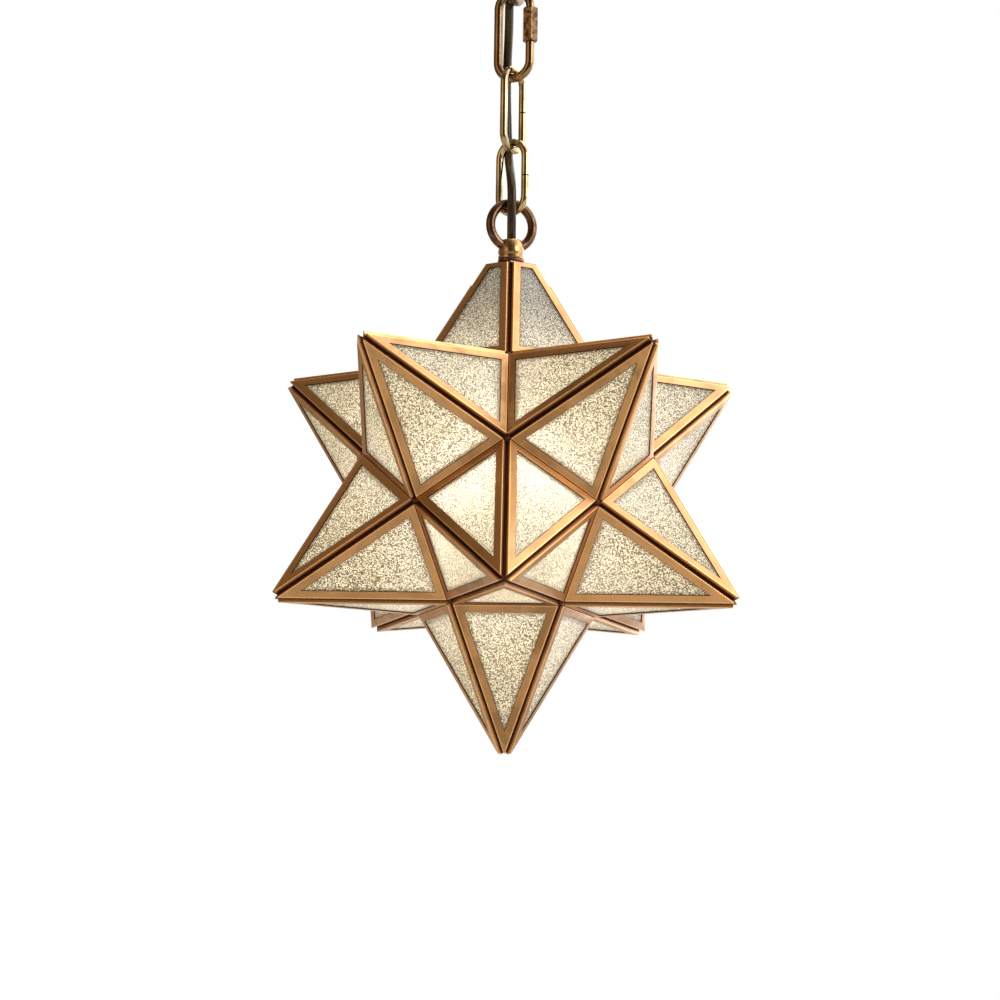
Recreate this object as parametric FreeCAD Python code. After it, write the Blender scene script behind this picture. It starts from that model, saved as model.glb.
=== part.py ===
"""A Moravian star pendant: sixty glazed metal panels in twelve points, a lampholder and bulb inside,
a ring and neck on top, a short chain with a screw-lock link, and a ceiling canopy.

Millimetres, +Z up. The origin is in the ceiling plane, above the star's axis, and the star's front
faces -Y. The star is a small stellated dodecahedron: a regular dodecahedron with a five-sided
pyramid on each face. Every pyramid side is one panel, a mitred channel frame round a glass pane.
"""

import FreeCAD, Part
import math
import os

from FreeCAD import Matrix, Placement, Rotation, Vector

# ---- star ------------------------------------------------------------------------------------
CORE_EDGE = 86.0            # edge of the dodecahedron that the points stand on
CHANNEL_DEPTH = 4.8         # how far a panel frame goes in from its outer face
FLANGE_WIDTH = 6.3          # metal seen round each pane
CHANNEL_WALL = 0.8          # sheet thickness of the channel
SEAM_GAP = 0.1              # solder line between two panels
TIP_BLUNT = 0.9             # width of a panel's cut-off tip
FLANGE_CHAMFER = 0.5        # broken outer corner of the channel
PANE_THICKNESS = 3.0
PANE_EDGE_GAP = 0.4         # pane edge to the bottom of the channel
FRONT_TOP_CUT = 175.6       # height above the star's centre where the two front top panels end
BACK_TOP_DROP = 16.0        # the three back top panels end this much lower, which leaves a vent

# ---- neck and the two cast loops ---------------------------------------------------------------
TOP_PLATE_RADIUS = 20.6     # corner radius of the five-sided plate
TOP_PLATE_THICKNESS = 1.2
FLANGE_DISC_RADIUS = 10.2
FLANGE_DISC_HEIGHT = 1.8
BEAD_RADIUS = 10.6
BEAD_HEIGHT = 3.4
NECK_CAP_RADIUS = 10.2      # at its foot
NECK_CAP_MOUTH = 7.75       # outer radius at its top
NECK_CAP_HEIGHT = 15.0
NECK_CAP_WALL = 0.8
NECK_CAP_BULGE = 1.0        # how far the bell's side swells
NOTCH_CLEARANCE = 0.15      # ring to the cap's notches
LOOP_WIRE = 7.5
LOOP_OUTER = 43.0           # outer diameter of the cast ring
HUB_RADIUS = 6.8
HUB_LENGTH = 13.5
HUB_SINK = 11.6             # ring centre to the near end of the hub
HUB_COLLAR_RADIUS = 11.0    # collar of the ceiling loop, which carries the canopy
HUB_COLLAR_HEIGHT = 3.0
STAR_LOOP_TWIST = 24.0      # degrees about Z, from the plane that faces the front
CANOPY_LOOP_TWIST = 68.0

# ---- chain -------------------------------------------------------------------------------------
LINK_WIRE = 6.0
LINK_WIDTH = 31.0
UPPER_LINK_LENGTH = 71.0
LOWER_LINK_LENGTH = 62.2
LINK_SEAM = 0.7             # open butt joint in one leg
QUICK_WIRE = 7.0
QUICK_WIDTH = 34.0
QUICK_LENGTH = 77.2
QUICK_GATE = 9.0            # gap in the leg that the sleeve closes
QUICK_GATE_DROP = 3.0       # how far the gap starts below the sleeve's upper end
SLEEVE_FLATS = 11.0         # across the hexagon's flats
SLEEVE_LENGTH = 27.5
SLEEVE_TOP_GAP = 1.0        # sleeve to the start of the upper bend
SLEEVE_CHAMFER = 1.4
THREAD_CLEARANCE = 0.08     # radial
HANG_GAP = 0.3              # between two pieces that hang in each other
UPPER_LINK_TWIST = 55.0
LOWER_LINK_TWIST = -37.0
QUICK_TWIST = -22.0

# ---- tubes, cord, canopy -----------------------------------------------------------------------
NIPPLE_RADIUS = 5.0
CORD_DIAMETER = 7.0
CORD_CLEARANCE = 0.4        # radial, cord in a bore
CORD_FRONT_GAP = 3.35       # cord to the cast ring's wire where it passes in front
CORD_BACK_GAP = 4.0         # cord to the links' wire where it passes behind
FIT_CLEARANCE = 0.1         # radial, between pieces that screw or push together
NUT_FLATS = 15.0
NUT_HEIGHT = 3.5
WASHER_RADIUS = 9.5
WASHER_HEIGHT = 1.2
CANOPY_RADIUS = 60.0
CANOPY_HEIGHT = 30.0
CANOPY_WALL = 1.2
CANOPY_RIM = 5.0
CANOPY_BULGE = 5.5          # how far the dome's side swells
CANOPY_SHOULDER = 17.0      # radius of the flat round the canopy's hole
BRACKET_WIDTH = 22.0
BRACKET_SHEET = 2.0
BRACKET_DROP = 16.0         # depth of the middle below the ceiling
BRACKET_TAB = 20.0
BRACKET_RISER = 6.0
SLOT_SPACING = 88.9
SLOT_LENGTH = 12.0
SLOT_RADIUS = 2.4
SLOT_END = 3.55             # metal between a slot and the tab's end
TERMINAL_SIZE = (30.0, 18.0, 9.0)
TERMINAL_WELL_RADIUS = 2.2
CORD_SEAT = 5.0             # how deep the cord's end sits in its terminal or lampholder
EARTH_SCREW_PLACE = 20.0
EARTH_SCREW_RADIUS = 2.0
EARTH_SCREW_LENGTH = 8.0

# ---- lampholder and bulb, heights above the star's centre ----------------------------------------
HOLDER_TOP = 98.0
HOLDER_CAP_HEIGHT = 18.0
HOLDER_CAP_BULGE = 3.0
HOLDER_RADIUS = 20.5
HOLDER_WALL = 2.0
HOLDER_SKIRT = 42.0
HOLDER_CORE_HEIGHT = 15.0
HOLDER_NECK_RADIUS = 8.0
SCREW_SHELL_RADIUS = 13.35  # inside, where the bulb's cap screws in
SCREW_SHELL_WALL = 0.35
SCREW_SHELL_HEIGHT = 24.0
BULB_CAP_RADIUS = 13.2
BULB_CAP_HEIGHT = 22.0
BULB_CONTACT_GAP = 0.1
BULB_RADIUS = 30.0
BULB_LENGTH = 105.0
BULB_WALL = 0.8
BULB_NECK_STEP = 0.4        # the glass neck is this much narrower than the cap
BULB_NECK_HOLLOW = -1.6     # how far the side between neck and ball is drawn in
BULB_SHOULDER = math.radians(38)    # where the ball begins, above its middle
BULB_STEPS = 6              # flats from the ball's shoulder to its lowest point
STEM_RADIUS = 2.4
BULB_STEM_LENGTH = 40.0
FILAMENT_WIRE = 0.9
FILAMENT_RADIUS = 7.0
FILAMENT_RISE = 4.0
FILAMENT_LEGS = 6

# ---- flats: round pieces are drawn with this many flat sides --------------------------------------
TURNED_SIDES = 28
SMALL_SIDES = 20
CANOPY_SIDES = 40
WIRE_SIDES = 12
BEND_STEPS = 9              # in half a turn
CURVE_STEPS = 4             # in a curved line of a turned profile

# ---- worked out from the sizes above ---------------------------------------------------------------
PHI = (1 + math.sqrt(5)) / 2
MID_RADIUS = CORE_EDGE * PHI**2 / 2
FACE_RADIUS = CORE_EDGE * PHI**2 / (2 * math.sqrt(3 - PHI))
PANEL_HEIGHT = CORE_EDGE * math.sqrt(PHI**2 - 0.25)
APEX_RADIUS = FACE_RADIUS + math.sqrt(PANEL_HEIGHT**2 - (CORE_EDGE * 0.5 / math.tan(math.pi / 5))**2)
RIDGE_INSET = CHANNEL_DEPTH / PHI + SEAM_GAP / 2    # two frames meet at their inner edges on a ridge
SLOPE = (APEX_RADIUS - FACE_RADIUS) / PANEL_HEIGHT

BORE_RADIUS = CORD_DIAMETER / 2 + CORD_CLEARANCE
BRACKET_LENGTH = SLOT_SPACING + SLOT_LENGTH + 2 * SLOT_END
THREAD_RADIUS = NIPPLE_RADIUS + FIT_CLEARANCE
LOOP_RADIUS = (LOOP_OUTER - LOOP_WIRE) / 2
CANOPY_LOOP_Z = -(CANOPY_HEIGHT + HUB_SINK + HUB_LENGTH)
QUICK_PIVOT_Z = CANOPY_LOOP_Z - LOOP_RADIUS
QUICK_TOP_Z = QUICK_PIVOT_Z + LOOP_WIRE / 2 + HANG_GAP + QUICK_WIRE
UPPER_PIVOT_Z = QUICK_TOP_Z - QUICK_LENGTH + QUICK_WIRE / 2
UPPER_TOP_Z = UPPER_PIVOT_Z + QUICK_WIRE / 2 + HANG_GAP + LINK_WIRE
LOWER_PIVOT_Z = UPPER_TOP_Z - UPPER_LINK_LENGTH + LINK_WIRE / 2
LOWER_TOP_Z = LOWER_PIVOT_Z + LINK_WIRE / 2 + HANG_GAP + LINK_WIRE
STAR_PIVOT_Z = LOWER_TOP_Z - LOWER_LINK_LENGTH + LINK_WIRE / 2
STAR_LOOP_Z = STAR_PIVOT_Z + LINK_WIRE / 2 + HANG_GAP + LOOP_WIRE - LOOP_OUTER / 2
NECK_STACK = TOP_PLATE_THICKNESS + FLANGE_DISC_HEIGHT + BEAD_HEIGHT + NECK_CAP_HEIGHT
STAR_Z = STAR_LOOP_Z - HUB_SINK - NECK_STACK - FRONT_TOP_CUT
PLATE_Z = STAR_Z + FRONT_TOP_CUT
DISC_Z = PLATE_Z + TOP_PLATE_THICKNESS
BEAD_Z = DISC_Z + FLANGE_DISC_HEIGHT
NECK_CAP_Z = BEAD_Z + BEAD_HEIGHT

# Where each point of the star aims, as azimuth from the front and elevation, in degrees.
LATITUDE = math.degrees(math.atan(0.5))
POINTS = {
    "top": (0, 90),
    "upper_front_left": (-36, LATITUDE),
    "upper_front_right": (36, LATITUDE),
    "upper_side_left": (-108, LATITUDE),
    "upper_side_right": (108, LATITUDE),
    "upper_back": (180, LATITUDE),
    "lower_front": (0, -LATITUDE),
    "lower_side_left": (-72, -LATITUDE),
    "lower_side_right": (72, -LATITUDE),
    "lower_back_left": (-144, -LATITUDE),
    "lower_back_right": (144, -LATITUDE),
    "bottom": (0, -90),
}

# The cord's free stretches from the star's hub up to the canopy's hub, as corners of its centre line.
# Each runs on to the middle of the straight run that leads to the next one's first corner.
STAR_HUB_TOP = STAR_LOOP_Z - HUB_SINK
CANOPY_HUB_LOW = CANOPY_LOOP_Z + HUB_SINK
CORD_FRONT = -(CORD_DIAMETER + LOOP_WIRE) / 2 - CORD_FRONT_GAP
CORD_BACK = (CORD_DIAMETER + QUICK_WIRE) / 2 + CORD_BACK_GAP
CORD_ROUTE = {
    "cord_ring_stretch": [
        (0, 0, STAR_HUB_TOP - 8),
        (0, 0, STAR_HUB_TOP + 6),
        (0, CORD_FRONT, STAR_PIVOT_Z + 0.6),
        (0, CORD_FRONT, STAR_PIVOT_Z + 19.6),
    ],
    "cord_lower_stretch": [
        (-3.6, CORD_BACK + 1.5, LOWER_PIVOT_Z - 1),
        (-4.3, CORD_BACK + 1.5, LOWER_PIVOT_Z + 17.5),
    ],
    "cord_upper_stretch": [
        (-5.6, CORD_BACK, UPPER_PIVOT_Z - 12),
        (-5.2, CORD_BACK + 0.4, UPPER_PIVOT_Z + 16.5),
    ],
    "cord_quick_stretch": [
        (-4.2, CORD_BACK, QUICK_PIVOT_Z - 19),
        (-4.4, CORD_BACK + 0.3, QUICK_PIVOT_Z + 7),
        (0, 0, CANOPY_HUB_LOW - 6.5),
        (0, 0, CANOPY_HUB_LOW + 14),
    ],
}


def solid_between(sections, closed):
    """A solid whose skin joins each closed outline of points to the next with flat faces.

    closed joins the last outline to the first. Otherwise the first and the last are its ends.
    """
    faces = []
    pairs = list(zip(sections, sections[1:] + sections[:1] if closed else sections[1:]))
    for one, two in pairs:
        for k in range(len(one)):
            corners = [one[k - 1], one[k], two[k], two[k - 1]]
            kept = [c for n, c in enumerate(corners) if not c.isEqual(corners[n - 1], 1e-7)]
            if len(kept) > 2:
                faces.append(Part.Face(Part.makePolygon(kept + kept[:1])))
    if not closed:
        for end in (sections[0], sections[-1]):
            faces.append(Part.Face(Part.makePolygon(end + end[:1])))
    shell = Part.makeShell(faces)
    shell.sewShape()
    solid = Part.makeSolid(shell)
    if solid.Volume < 0:
        solid.reverse()
    return solid.removeSplitter()


def turned(profile, sides=TURNED_SIDES):
    """A turned piece: a closed profile of (radius, height) corners carried round Z.

    A third value bulges the line from the corner before: it is how far the line's middle stands
    off to its left. Such a line becomes an arc, drawn with CURVE_STEPS flats.
    """
    outline = []
    for (r0, z0, *_), (r1, z1, *bulge) in zip(profile[-1:] + profile[:-1], profile):
        if bulge:
            half = math.hypot(r1 - r0, z1 - z0) / 2
            turn = 4 * math.atan(bulge[0] / half)
            for step in range(1, CURVE_STEPS):
                share = step / CURVE_STEPS
                angle = turn * (share - 0.5)
                along = (math.sin(angle) / math.sin(turn / 2) + 1) / 2
                off = half * (math.cos(angle) - math.cos(turn / 2)) / math.sin(turn / 2)
                outline.append((r0 + (r1 - r0) * along - (z1 - z0) / (2 * half) * off,
                                z0 + (z1 - z0) * along + (r1 - r0) / (2 * half) * off))
        outline.append((r1, z1))
    sections = []
    for k in range(sides):
        angle = 2 * math.pi * k / sides
        sections.append([Vector(r * math.cos(angle), r * math.sin(angle), z) for r, z in outline])
    return solid_between(sections, True)


def tube(outer, inner, low, height, sides=TURNED_SIDES):
    """An upright tube on the Z axis, or a rod where inner is 0."""
    high = low + height
    return turned([(inner, low), (outer, low), (outer, high), (inner, high)], sides)


def rod(start, stop, radius, sides=6):
    """A thin straight bar between two points."""
    bar = tube(radius, 0, 0, (stop - start).Length, sides)
    bar.Placement = Placement(start, Rotation(Vector(0, 0, 1), stop - start))
    return bar


def wire_ring(wire, width, length, top_z):
    """A closed ring of round wire in the XZ plane: two half rings, with straight legs where it is long."""
    bend = (width - wire) / 2
    centres = (top_z - width / 2, top_z - length + width / 2)
    sections = []
    for half, centre_z in enumerate(centres):
        steps = BEND_STEPS + 1 if length > width else BEND_STEPS
        for step in range(steps):
            angle = math.pi * (half + step / BEND_STEPS)
            outline = []
            for k in range(WIRE_SIDES):
                around = 2 * math.pi * (k + 0.5) / WIRE_SIDES
                reach = bend + wire / 2 * math.cos(around)
                outline.append(Vector(reach * math.cos(angle), wire / 2 * math.sin(around),
                                      centre_z + reach * math.sin(angle)))
            sections.append(outline)
    return solid_between(sections, True)


def hexagon(flats, low, height):
    """An upright hexagonal bar on the Z axis."""
    radius = flats / math.sqrt(3)
    angles = [k * math.pi / 3 for k in range(7)]
    corners = [Vector(radius * math.cos(angle), radius * math.sin(angle), low) for angle in angles]
    return Part.Face(Part.makePolygon(corners)).extrude(Vector(0, 0, height))


def twisted(shape, degrees):
    """The shape turned about the star's axis."""
    shape.rotate(Vector(0, 0, 0), Vector(0, 0, 1), degrees)
    return shape


# ---- panels ------------------------------------------------------------------------------------


def panel_outline(inset, top=None):
    """Corners of a panel in its own plane, drawn in on every side. x runs along the base.

    The outer outline keeps the base on the valley, the legs off the ridge and the tip cut short.
    top is the distance from the base to the cut of a shortened panel.
    """
    slant = math.atan2(PANEL_HEIGHT, CORE_EDGE / 2)
    base = SEAM_GAP / 2 + inset
    apex = PANEL_HEIGHT - (RIDGE_INSET + inset) / math.cos(slant)
    half_base = (apex - base) / math.tan(slant)
    if top is None:
        if inset >= FLANGE_WIDTH:
            return [(-half_base, base), (half_base, base), (0, apex)]
        top = PANEL_HEIGHT - RIDGE_INSET / math.cos(slant) - TIP_BLUNT / 2 * math.tan(slant)
    high = min(top - inset, apex - 0.3)
    half_top = (apex - high) / math.tan(slant)
    return [(-half_base, base), (half_base, base), (half_top, high), (-half_top, high)]


def slab(outline, high, low):
    """The outline as a plate from the depth low up to the depth high."""
    corners = [Vector(x, y, low) for x, y in outline]
    return Part.Face(Part.makePolygon(corners + corners[:1])).extrude(Vector(0, 0, high - low))


def panel_frame(top=None):
    """A mitred channel: an outer and an inner flange joined by a wall round the edge."""
    frame = slab(panel_outline(0, top), 0, -CHANNEL_DEPTH)
    rim = [e for e in frame.Edges if all(abs(v.Z) < 1e-6 for v in e.Vertexes)]
    frame = frame.makeChamfer(FLANGE_CHAMFER, rim)
    groove = slab(panel_outline(CHANNEL_WALL, top), -CHANNEL_WALL, CHANNEL_WALL - CHANNEL_DEPTH)
    window = slab(panel_outline(FLANGE_WIDTH, top), 1, -CHANNEL_DEPTH - 1)
    return frame.cut(groove).cut(window)


def panel_pane(top=None):
    """The glass, in the middle of the channel's depth."""
    middle = -CHANNEL_DEPTH / 2
    outline = panel_outline(CHANNEL_WALL + PANE_EDGE_GAP, top)
    return slab(outline, middle + PANE_THICKNESS / 2, middle - PANE_THICKNESS / 2)


def aim(azimuth, elevation):
    """A unit vector from the star's centre."""
    a, e = math.radians(azimuth), math.radians(elevation)
    return Vector(math.sin(a) * math.cos(e), -math.cos(a) * math.cos(e), math.sin(e))


def panel_places(point):
    """The placement of each of a point's five panels, and the direction of the point beside it."""
    axis = aim(*POINTS[point])
    apex = axis * APEX_RADIUS
    places = []
    for other in POINTS.values():
        beside = aim(*other)
        if not 0.3 < axis.dot(beside) < 0.9:
            continue
        middle = (axis + beside).normalize() * MID_RADIUS
        along = axis.cross(beside).normalize()
        up = (apex - middle).normalize()
        outward = along.cross(up)
        if outward.dot(middle) < 0:
            along, outward = along * -1, outward * -1
        matrix = Matrix(
            along.x, up.x, outward.x, middle.x,
            along.y, up.y, outward.y, middle.y,
            along.z, up.z, outward.z, middle.z + STAR_Z,
        )
        places.append((Placement(matrix), beside))
    return places


def star_points():
    """Two nodes for each point: its five frames and its five panes.

    The front frames of the top point run past the top plate's underside, and are trimmed flush with it.
    """
    front_top = (FRONT_TOP_CUT - FACE_RADIUS) / SLOPE
    back_top = (FRONT_TOP_CUT - BACK_TOP_DROP - FACE_RADIUS) / SLOPE
    cuts = {"whole": None, "front": front_top, "back": back_top}
    panes = {name: panel_pane(top) for name, top in cuts.items()}
    cuts["front"] += CHANNEL_DEPTH * math.sqrt(1 - SLOPE**2) / SLOPE
    frames = {name: panel_frame(top) for name, top in cuts.items()}
    trim = Part.makeBox(LOOP_OUTER * 2, LOOP_OUTER * 2, LOOP_OUTER, Vector(-LOOP_OUTER, -LOOP_OUTER, PLATE_Z))
    nodes = {}
    for point in POINTS:
        set_of_frames, set_of_panes = [], []
        for place, beside in panel_places(point):
            sort = "whole"
            if point == "top":
                sort = "front" if beside.y < -0.5 else "back"
            for source, found in ((frames, set_of_frames), (panes, set_of_panes)):
                piece = source[sort].copy()
                piece.Placement = place
                if sort == "front":
                    piece = piece.cut(trim)
                found.append(piece)
        nodes[f"point_frames_{point}"] = Part.makeCompound(set_of_frames)
        nodes[f"point_glass_{point}"] = Part.makeCompound(set_of_panes)
    return nodes


# ---- neck, loops and tubes -----------------------------------------------------------------------


def cast_loop(centre_z, up):
    """A ring and its bored hub in one casting. up is 1 where the hub stands above the ring."""
    ring = wire_ring(LOOP_WIRE, LOOP_OUTER, LOOP_OUTER, centre_z + LOOP_OUTER / 2)
    near, far = centre_z + up * HUB_SINK, centre_z + up * (HUB_SINK + HUB_LENGTH)
    low = min(near, far)
    loop = ring.fuse(tube(HUB_RADIUS, 0, low, HUB_LENGTH, SMALL_SIDES))
    if up > 0:
        collar_low = far - HUB_COLLAR_HEIGHT
        loop = loop.fuse(tube(HUB_COLLAR_RADIUS, 0, collar_low, HUB_COLLAR_HEIGHT))
    way = tube(BORE_RADIUS, 0, low - LOOP_WIRE / 2, HUB_LENGTH + LOOP_WIRE, SMALL_SIDES)
    thread_length = HUB_LENGTH / 2
    thread_low = far - thread_length if up > 0 else far
    thread = tube(THREAD_RADIUS, 0, thread_low, thread_length, SMALL_SIDES)
    return loop.cut(way).cut(thread).removeSplitter()


def star_loop():
    return twisted(cast_loop(STAR_LOOP_Z, -1), STAR_LOOP_TWIST)


def canopy_loop():
    return twisted(cast_loop(CANOPY_LOOP_Z, 1), CANOPY_LOOP_TWIST)


def neck_cap():
    """A bell-shaped cover round the hub, notched at both sides for the ring."""
    foot, top = NECK_CAP_Z, NECK_CAP_Z + NECK_CAP_HEIGHT
    wall = NECK_CAP_WALL
    bell = turned([
        (NECK_CAP_RADIUS - wall, foot, NECK_CAP_BULGE),
        (NECK_CAP_RADIUS, foot),
        (NECK_CAP_MOUTH, top, -NECK_CAP_BULGE),
        (NECK_CAP_MOUTH - wall, top),
    ])
    wide = LOOP_WIRE + 2 * NOTCH_CLEARANCE
    clear = wire_ring(wide, LOOP_OUTER + 2 * NOTCH_CLEARANCE, LOOP_OUTER + 2 * NOTCH_CLEARANCE,
                      STAR_LOOP_Z + LOOP_OUTER / 2 + NOTCH_CLEARANCE)
    return bell.cut(twisted(clear, STAR_LOOP_TWIST))


def neck_bead():
    """A ring with a rounded edge under the cap."""
    waist = BEAD_RADIUS - BEAD_HEIGHT / 2
    top = BEAD_Z + BEAD_HEIGHT
    edge = -BEAD_HEIGHT / 2 + FIT_CLEARANCE
    return turned([(THREAD_RADIUS, BEAD_Z), (waist, BEAD_Z), (waist, top, edge), (THREAD_RADIUS, top)])


def neck_disc():
    """The flat flange that spreads the load on the top plate."""
    return tube(FLANGE_DISC_RADIUS, THREAD_RADIUS, DISC_Z, FLANGE_DISC_HEIGHT)


def top_plate():
    """A five-sided plate across the cut tip, with its corners on the ridges."""
    corners = [Vector(TOP_PLATE_RADIUS * math.sin(k * 2 * math.pi / 5),
                      -TOP_PLATE_RADIUS * math.cos(k * 2 * math.pi / 5), PLATE_Z) for k in range(6)]
    plate = Part.Face(Part.makePolygon(corners)).extrude(Vector(0, 0, TOP_PLATE_THICKNESS))
    return plate.cut(tube(THREAD_RADIUS, 0, PLATE_Z, TOP_PLATE_THICKNESS, SMALL_SIDES))


def lock_nut(low):
    """A thin hexagon nut on a nipple."""
    return hexagon(NUT_FLATS, low, NUT_HEIGHT).cut(tube(THREAD_RADIUS, 0, low, NUT_HEIGHT, SMALL_SIDES))


def star_nipple():
    """The tube that carries the lampholder, from the hub down through the top plate."""
    top = STAR_LOOP_Z - HUB_SINK - HUB_LENGTH / 2
    low = STAR_Z + HOLDER_TOP - HOLDER_CAP_HEIGHT / 2
    return tube(NIPPLE_RADIUS, BORE_RADIUS, low, top - low, SMALL_SIDES)


def plate_washer():
    return tube(WASHER_RADIUS, THREAD_RADIUS, PLATE_Z - WASHER_HEIGHT, WASHER_HEIGHT, SMALL_SIDES)


def plate_nut():
    return lock_nut(PLATE_Z - WASHER_HEIGHT - NUT_HEIGHT)


# ---- lampholder and bulb ---------------------------------------------------------------------------


def holder_cap():
    """The domed cap that screws onto the nipple."""
    top = STAR_Z + HOLDER_TOP
    low = top - HOLDER_CAP_HEIGHT
    return turned([
        (THREAD_RADIUS, top),
        (THREAD_RADIUS, top - HOLDER_CAP_HEIGHT / 2),
        (HOLDER_RADIUS - HOLDER_WALL, low, HOLDER_CAP_BULGE),
        (HOLDER_RADIUS, low),
        (HOLDER_NECK_RADIUS, top, -HOLDER_CAP_BULGE),
    ])


def holder_shell():
    """The skirt below the cap."""
    low = STAR_Z + HOLDER_TOP - HOLDER_CAP_HEIGHT - HOLDER_SKIRT
    return tube(HOLDER_RADIUS, HOLDER_RADIUS - HOLDER_WALL, low, HOLDER_SKIRT)


def core_top():
    return STAR_Z + HOLDER_TOP - HOLDER_CAP_HEIGHT


def holder_core():
    """The insulating block, with a pocket for the cord's end."""
    low = core_top() - HOLDER_CORE_HEIGHT
    block = tube(HOLDER_RADIUS - HOLDER_WALL - FIT_CLEARANCE, 0, low, HOLDER_CORE_HEIGHT)
    return block.cut(tube(BORE_RADIUS, 0, core_top() - CORD_SEAT, CORD_SEAT))


def screw_shell():
    """The thin metal sleeve that takes the bulb's cap."""
    low = core_top() - HOLDER_CORE_HEIGHT - SCREW_SHELL_HEIGHT
    return tube(SCREW_SHELL_RADIUS + SCREW_SHELL_WALL, SCREW_SHELL_RADIUS, low, SCREW_SHELL_HEIGHT)


def bulb_top():
    return core_top() - HOLDER_CORE_HEIGHT - BULB_CONTACT_GAP


def bulb_cap():
    """The bulb's metal cap, with its centre contact at the top."""
    top = bulb_top()
    return turned([
        (0, top), (4.5, top), (9.5, top - 3.2), (BULB_CAP_RADIUS, top - 4.4),
        (BULB_CAP_RADIUS, top - BULB_CAP_HEIGHT), (0, top - BULB_CAP_HEIGHT),
    ])


def bulb_outline(inset):
    """The envelope's outline from the neck to the lowest point, drawn in by the glass's thickness."""
    neck_z = bulb_top() - BULB_CAP_HEIGHT
    centre = bulb_centre()
    radius = BULB_RADIUS - inset
    neck = BULB_CAP_RADIUS - BULB_NECK_STEP - inset
    shoulder = (radius * math.cos(BULB_SHOULDER), centre + radius * math.sin(BULB_SHOULDER))
    rest = BULB_SHOULDER + math.pi / 2
    outline = [(0, neck_z), (neck, neck_z), (*shoulder, BULB_NECK_HOLLOW)]
    for step in range(1, BULB_STEPS + 1):
        angle = BULB_SHOULDER - rest * step / BULB_STEPS
        outline.append((radius * math.cos(angle), centre + radius * math.sin(angle)))
    outline[-1] = (0, centre - radius)
    return outline


def bulb_centre():
    return bulb_top() - BULB_LENGTH + BULB_RADIUS


def bulb_glass():
    """The thin glass envelope: a neck that swells into a ball."""
    return turned(bulb_outline(0)).cut(turned(bulb_outline(BULB_WALL)))


def bulb_stem():
    """The glass stem that carries the filament."""
    top = bulb_top() - BULB_CAP_HEIGHT - BULB_WALL
    low = top - BULB_STEM_LENGTH
    flare = top - STEM_RADIUS
    return turned([
        (0, low), (STEM_RADIUS, low), (STEM_RADIUS, flare), (2 * STEM_RADIUS, top), (0, top),
    ], WIRE_SIDES)


def bulb_filament():
    """A zigzag filament in a half ring round the stem, on two supports."""
    centre = bulb_centre()
    support_top = bulb_top() - BULB_CAP_HEIGHT - BULB_WALL
    corners = []
    for k in range(FILAMENT_LEGS + 1):
        angle = math.pi * k / FILAMENT_LEGS
        rise = FILAMENT_RISE if k % 2 == 0 else -FILAMENT_RISE
        across, back = -FILAMENT_RADIUS * math.cos(angle), -FILAMENT_RADIUS * math.sin(angle)
        corners.append(Vector(across, back, centre + rise))
    bars = [rod(a, b, FILAMENT_WIRE / 2) for a, b in zip(corners, corners[1:])]
    for end in (corners[0], corners[-1]):
        bars.append(rod(end, Vector(end.x, end.y, support_top), FILAMENT_WIRE / 2))
    return bars[0].multiFuse(bars[1:])


# ---- chain -------------------------------------------------------------------------------------------


def chain_link(length, top_z, twist):
    """A chain link with its open butt joint half way up one leg."""
    link = wire_ring(LINK_WIRE, LINK_WIDTH, length, top_z)
    seam_z = top_z - length / 2 - LINK_SEAM / 2
    seam = Part.makeBox(LINK_WIRE * 2, LINK_WIRE * 2, LINK_SEAM,
                        Vector((LINK_WIDTH - LINK_WIRE) / 2 - LINK_WIRE, -LINK_WIRE, seam_z))
    return twisted(link.cut(seam), twist)


def upper_link():
    return chain_link(UPPER_LINK_LENGTH, UPPER_TOP_Z, UPPER_LINK_TWIST)


def lower_link():
    return chain_link(LOWER_LINK_LENGTH, LOWER_TOP_Z, LOWER_LINK_TWIST)


def leg_top():
    """Where the quick link's straight legs meet the upper bend."""
    return QUICK_TOP_Z - QUICK_WIDTH / 2


def quick_link():
    """The screw-lock link, whose gap lies inside the sleeve near the upper bend."""
    link = wire_ring(QUICK_WIRE, QUICK_WIDTH, QUICK_LENGTH, QUICK_TOP_Z)
    gate_low = leg_top() - SLEEVE_TOP_GAP - QUICK_GATE_DROP - QUICK_GATE
    leg = (QUICK_WIDTH - QUICK_WIRE) / 2
    gate = Part.makeBox(QUICK_WIRE * 2, QUICK_WIRE * 2, QUICK_GATE,
                        Vector(leg - QUICK_WIRE, -QUICK_WIRE, gate_low))
    return twisted(link.cut(gate), QUICK_TWIST)


def quick_link_sleeve():
    """The long hexagon nut, with turned chamfers at both ends."""
    low = leg_top() - SLEEVE_TOP_GAP - SLEEVE_LENGTH
    bar = hexagon(SLEEVE_FLATS, low, SLEEVE_LENGTH)
    corner = SLEEVE_FLATS / math.sqrt(3)
    narrow = corner - SLEEVE_CHAMFER
    high = low + SLEEVE_LENGTH
    rise = SLEEVE_CHAMFER * math.tan(math.radians(30))
    turned_bar = turned([
        (0, low), (narrow, low), (corner + SLEEVE_CHAMFER, low + 2 * rise),
        (corner + SLEEVE_CHAMFER, high - 2 * rise), (narrow, high), (0, high),
    ])
    bar = bar.common(turned_bar)
    bar = bar.cut(tube(QUICK_WIRE / 2 + THREAD_CLEARANCE, 0, low, SLEEVE_LENGTH))
    bar.translate(Vector((QUICK_WIDTH - QUICK_WIRE) / 2, 0, 0))
    return twisted(bar, QUICK_TWIST)


# ---- ceiling fitting -----------------------------------------------------------------------------------


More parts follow.
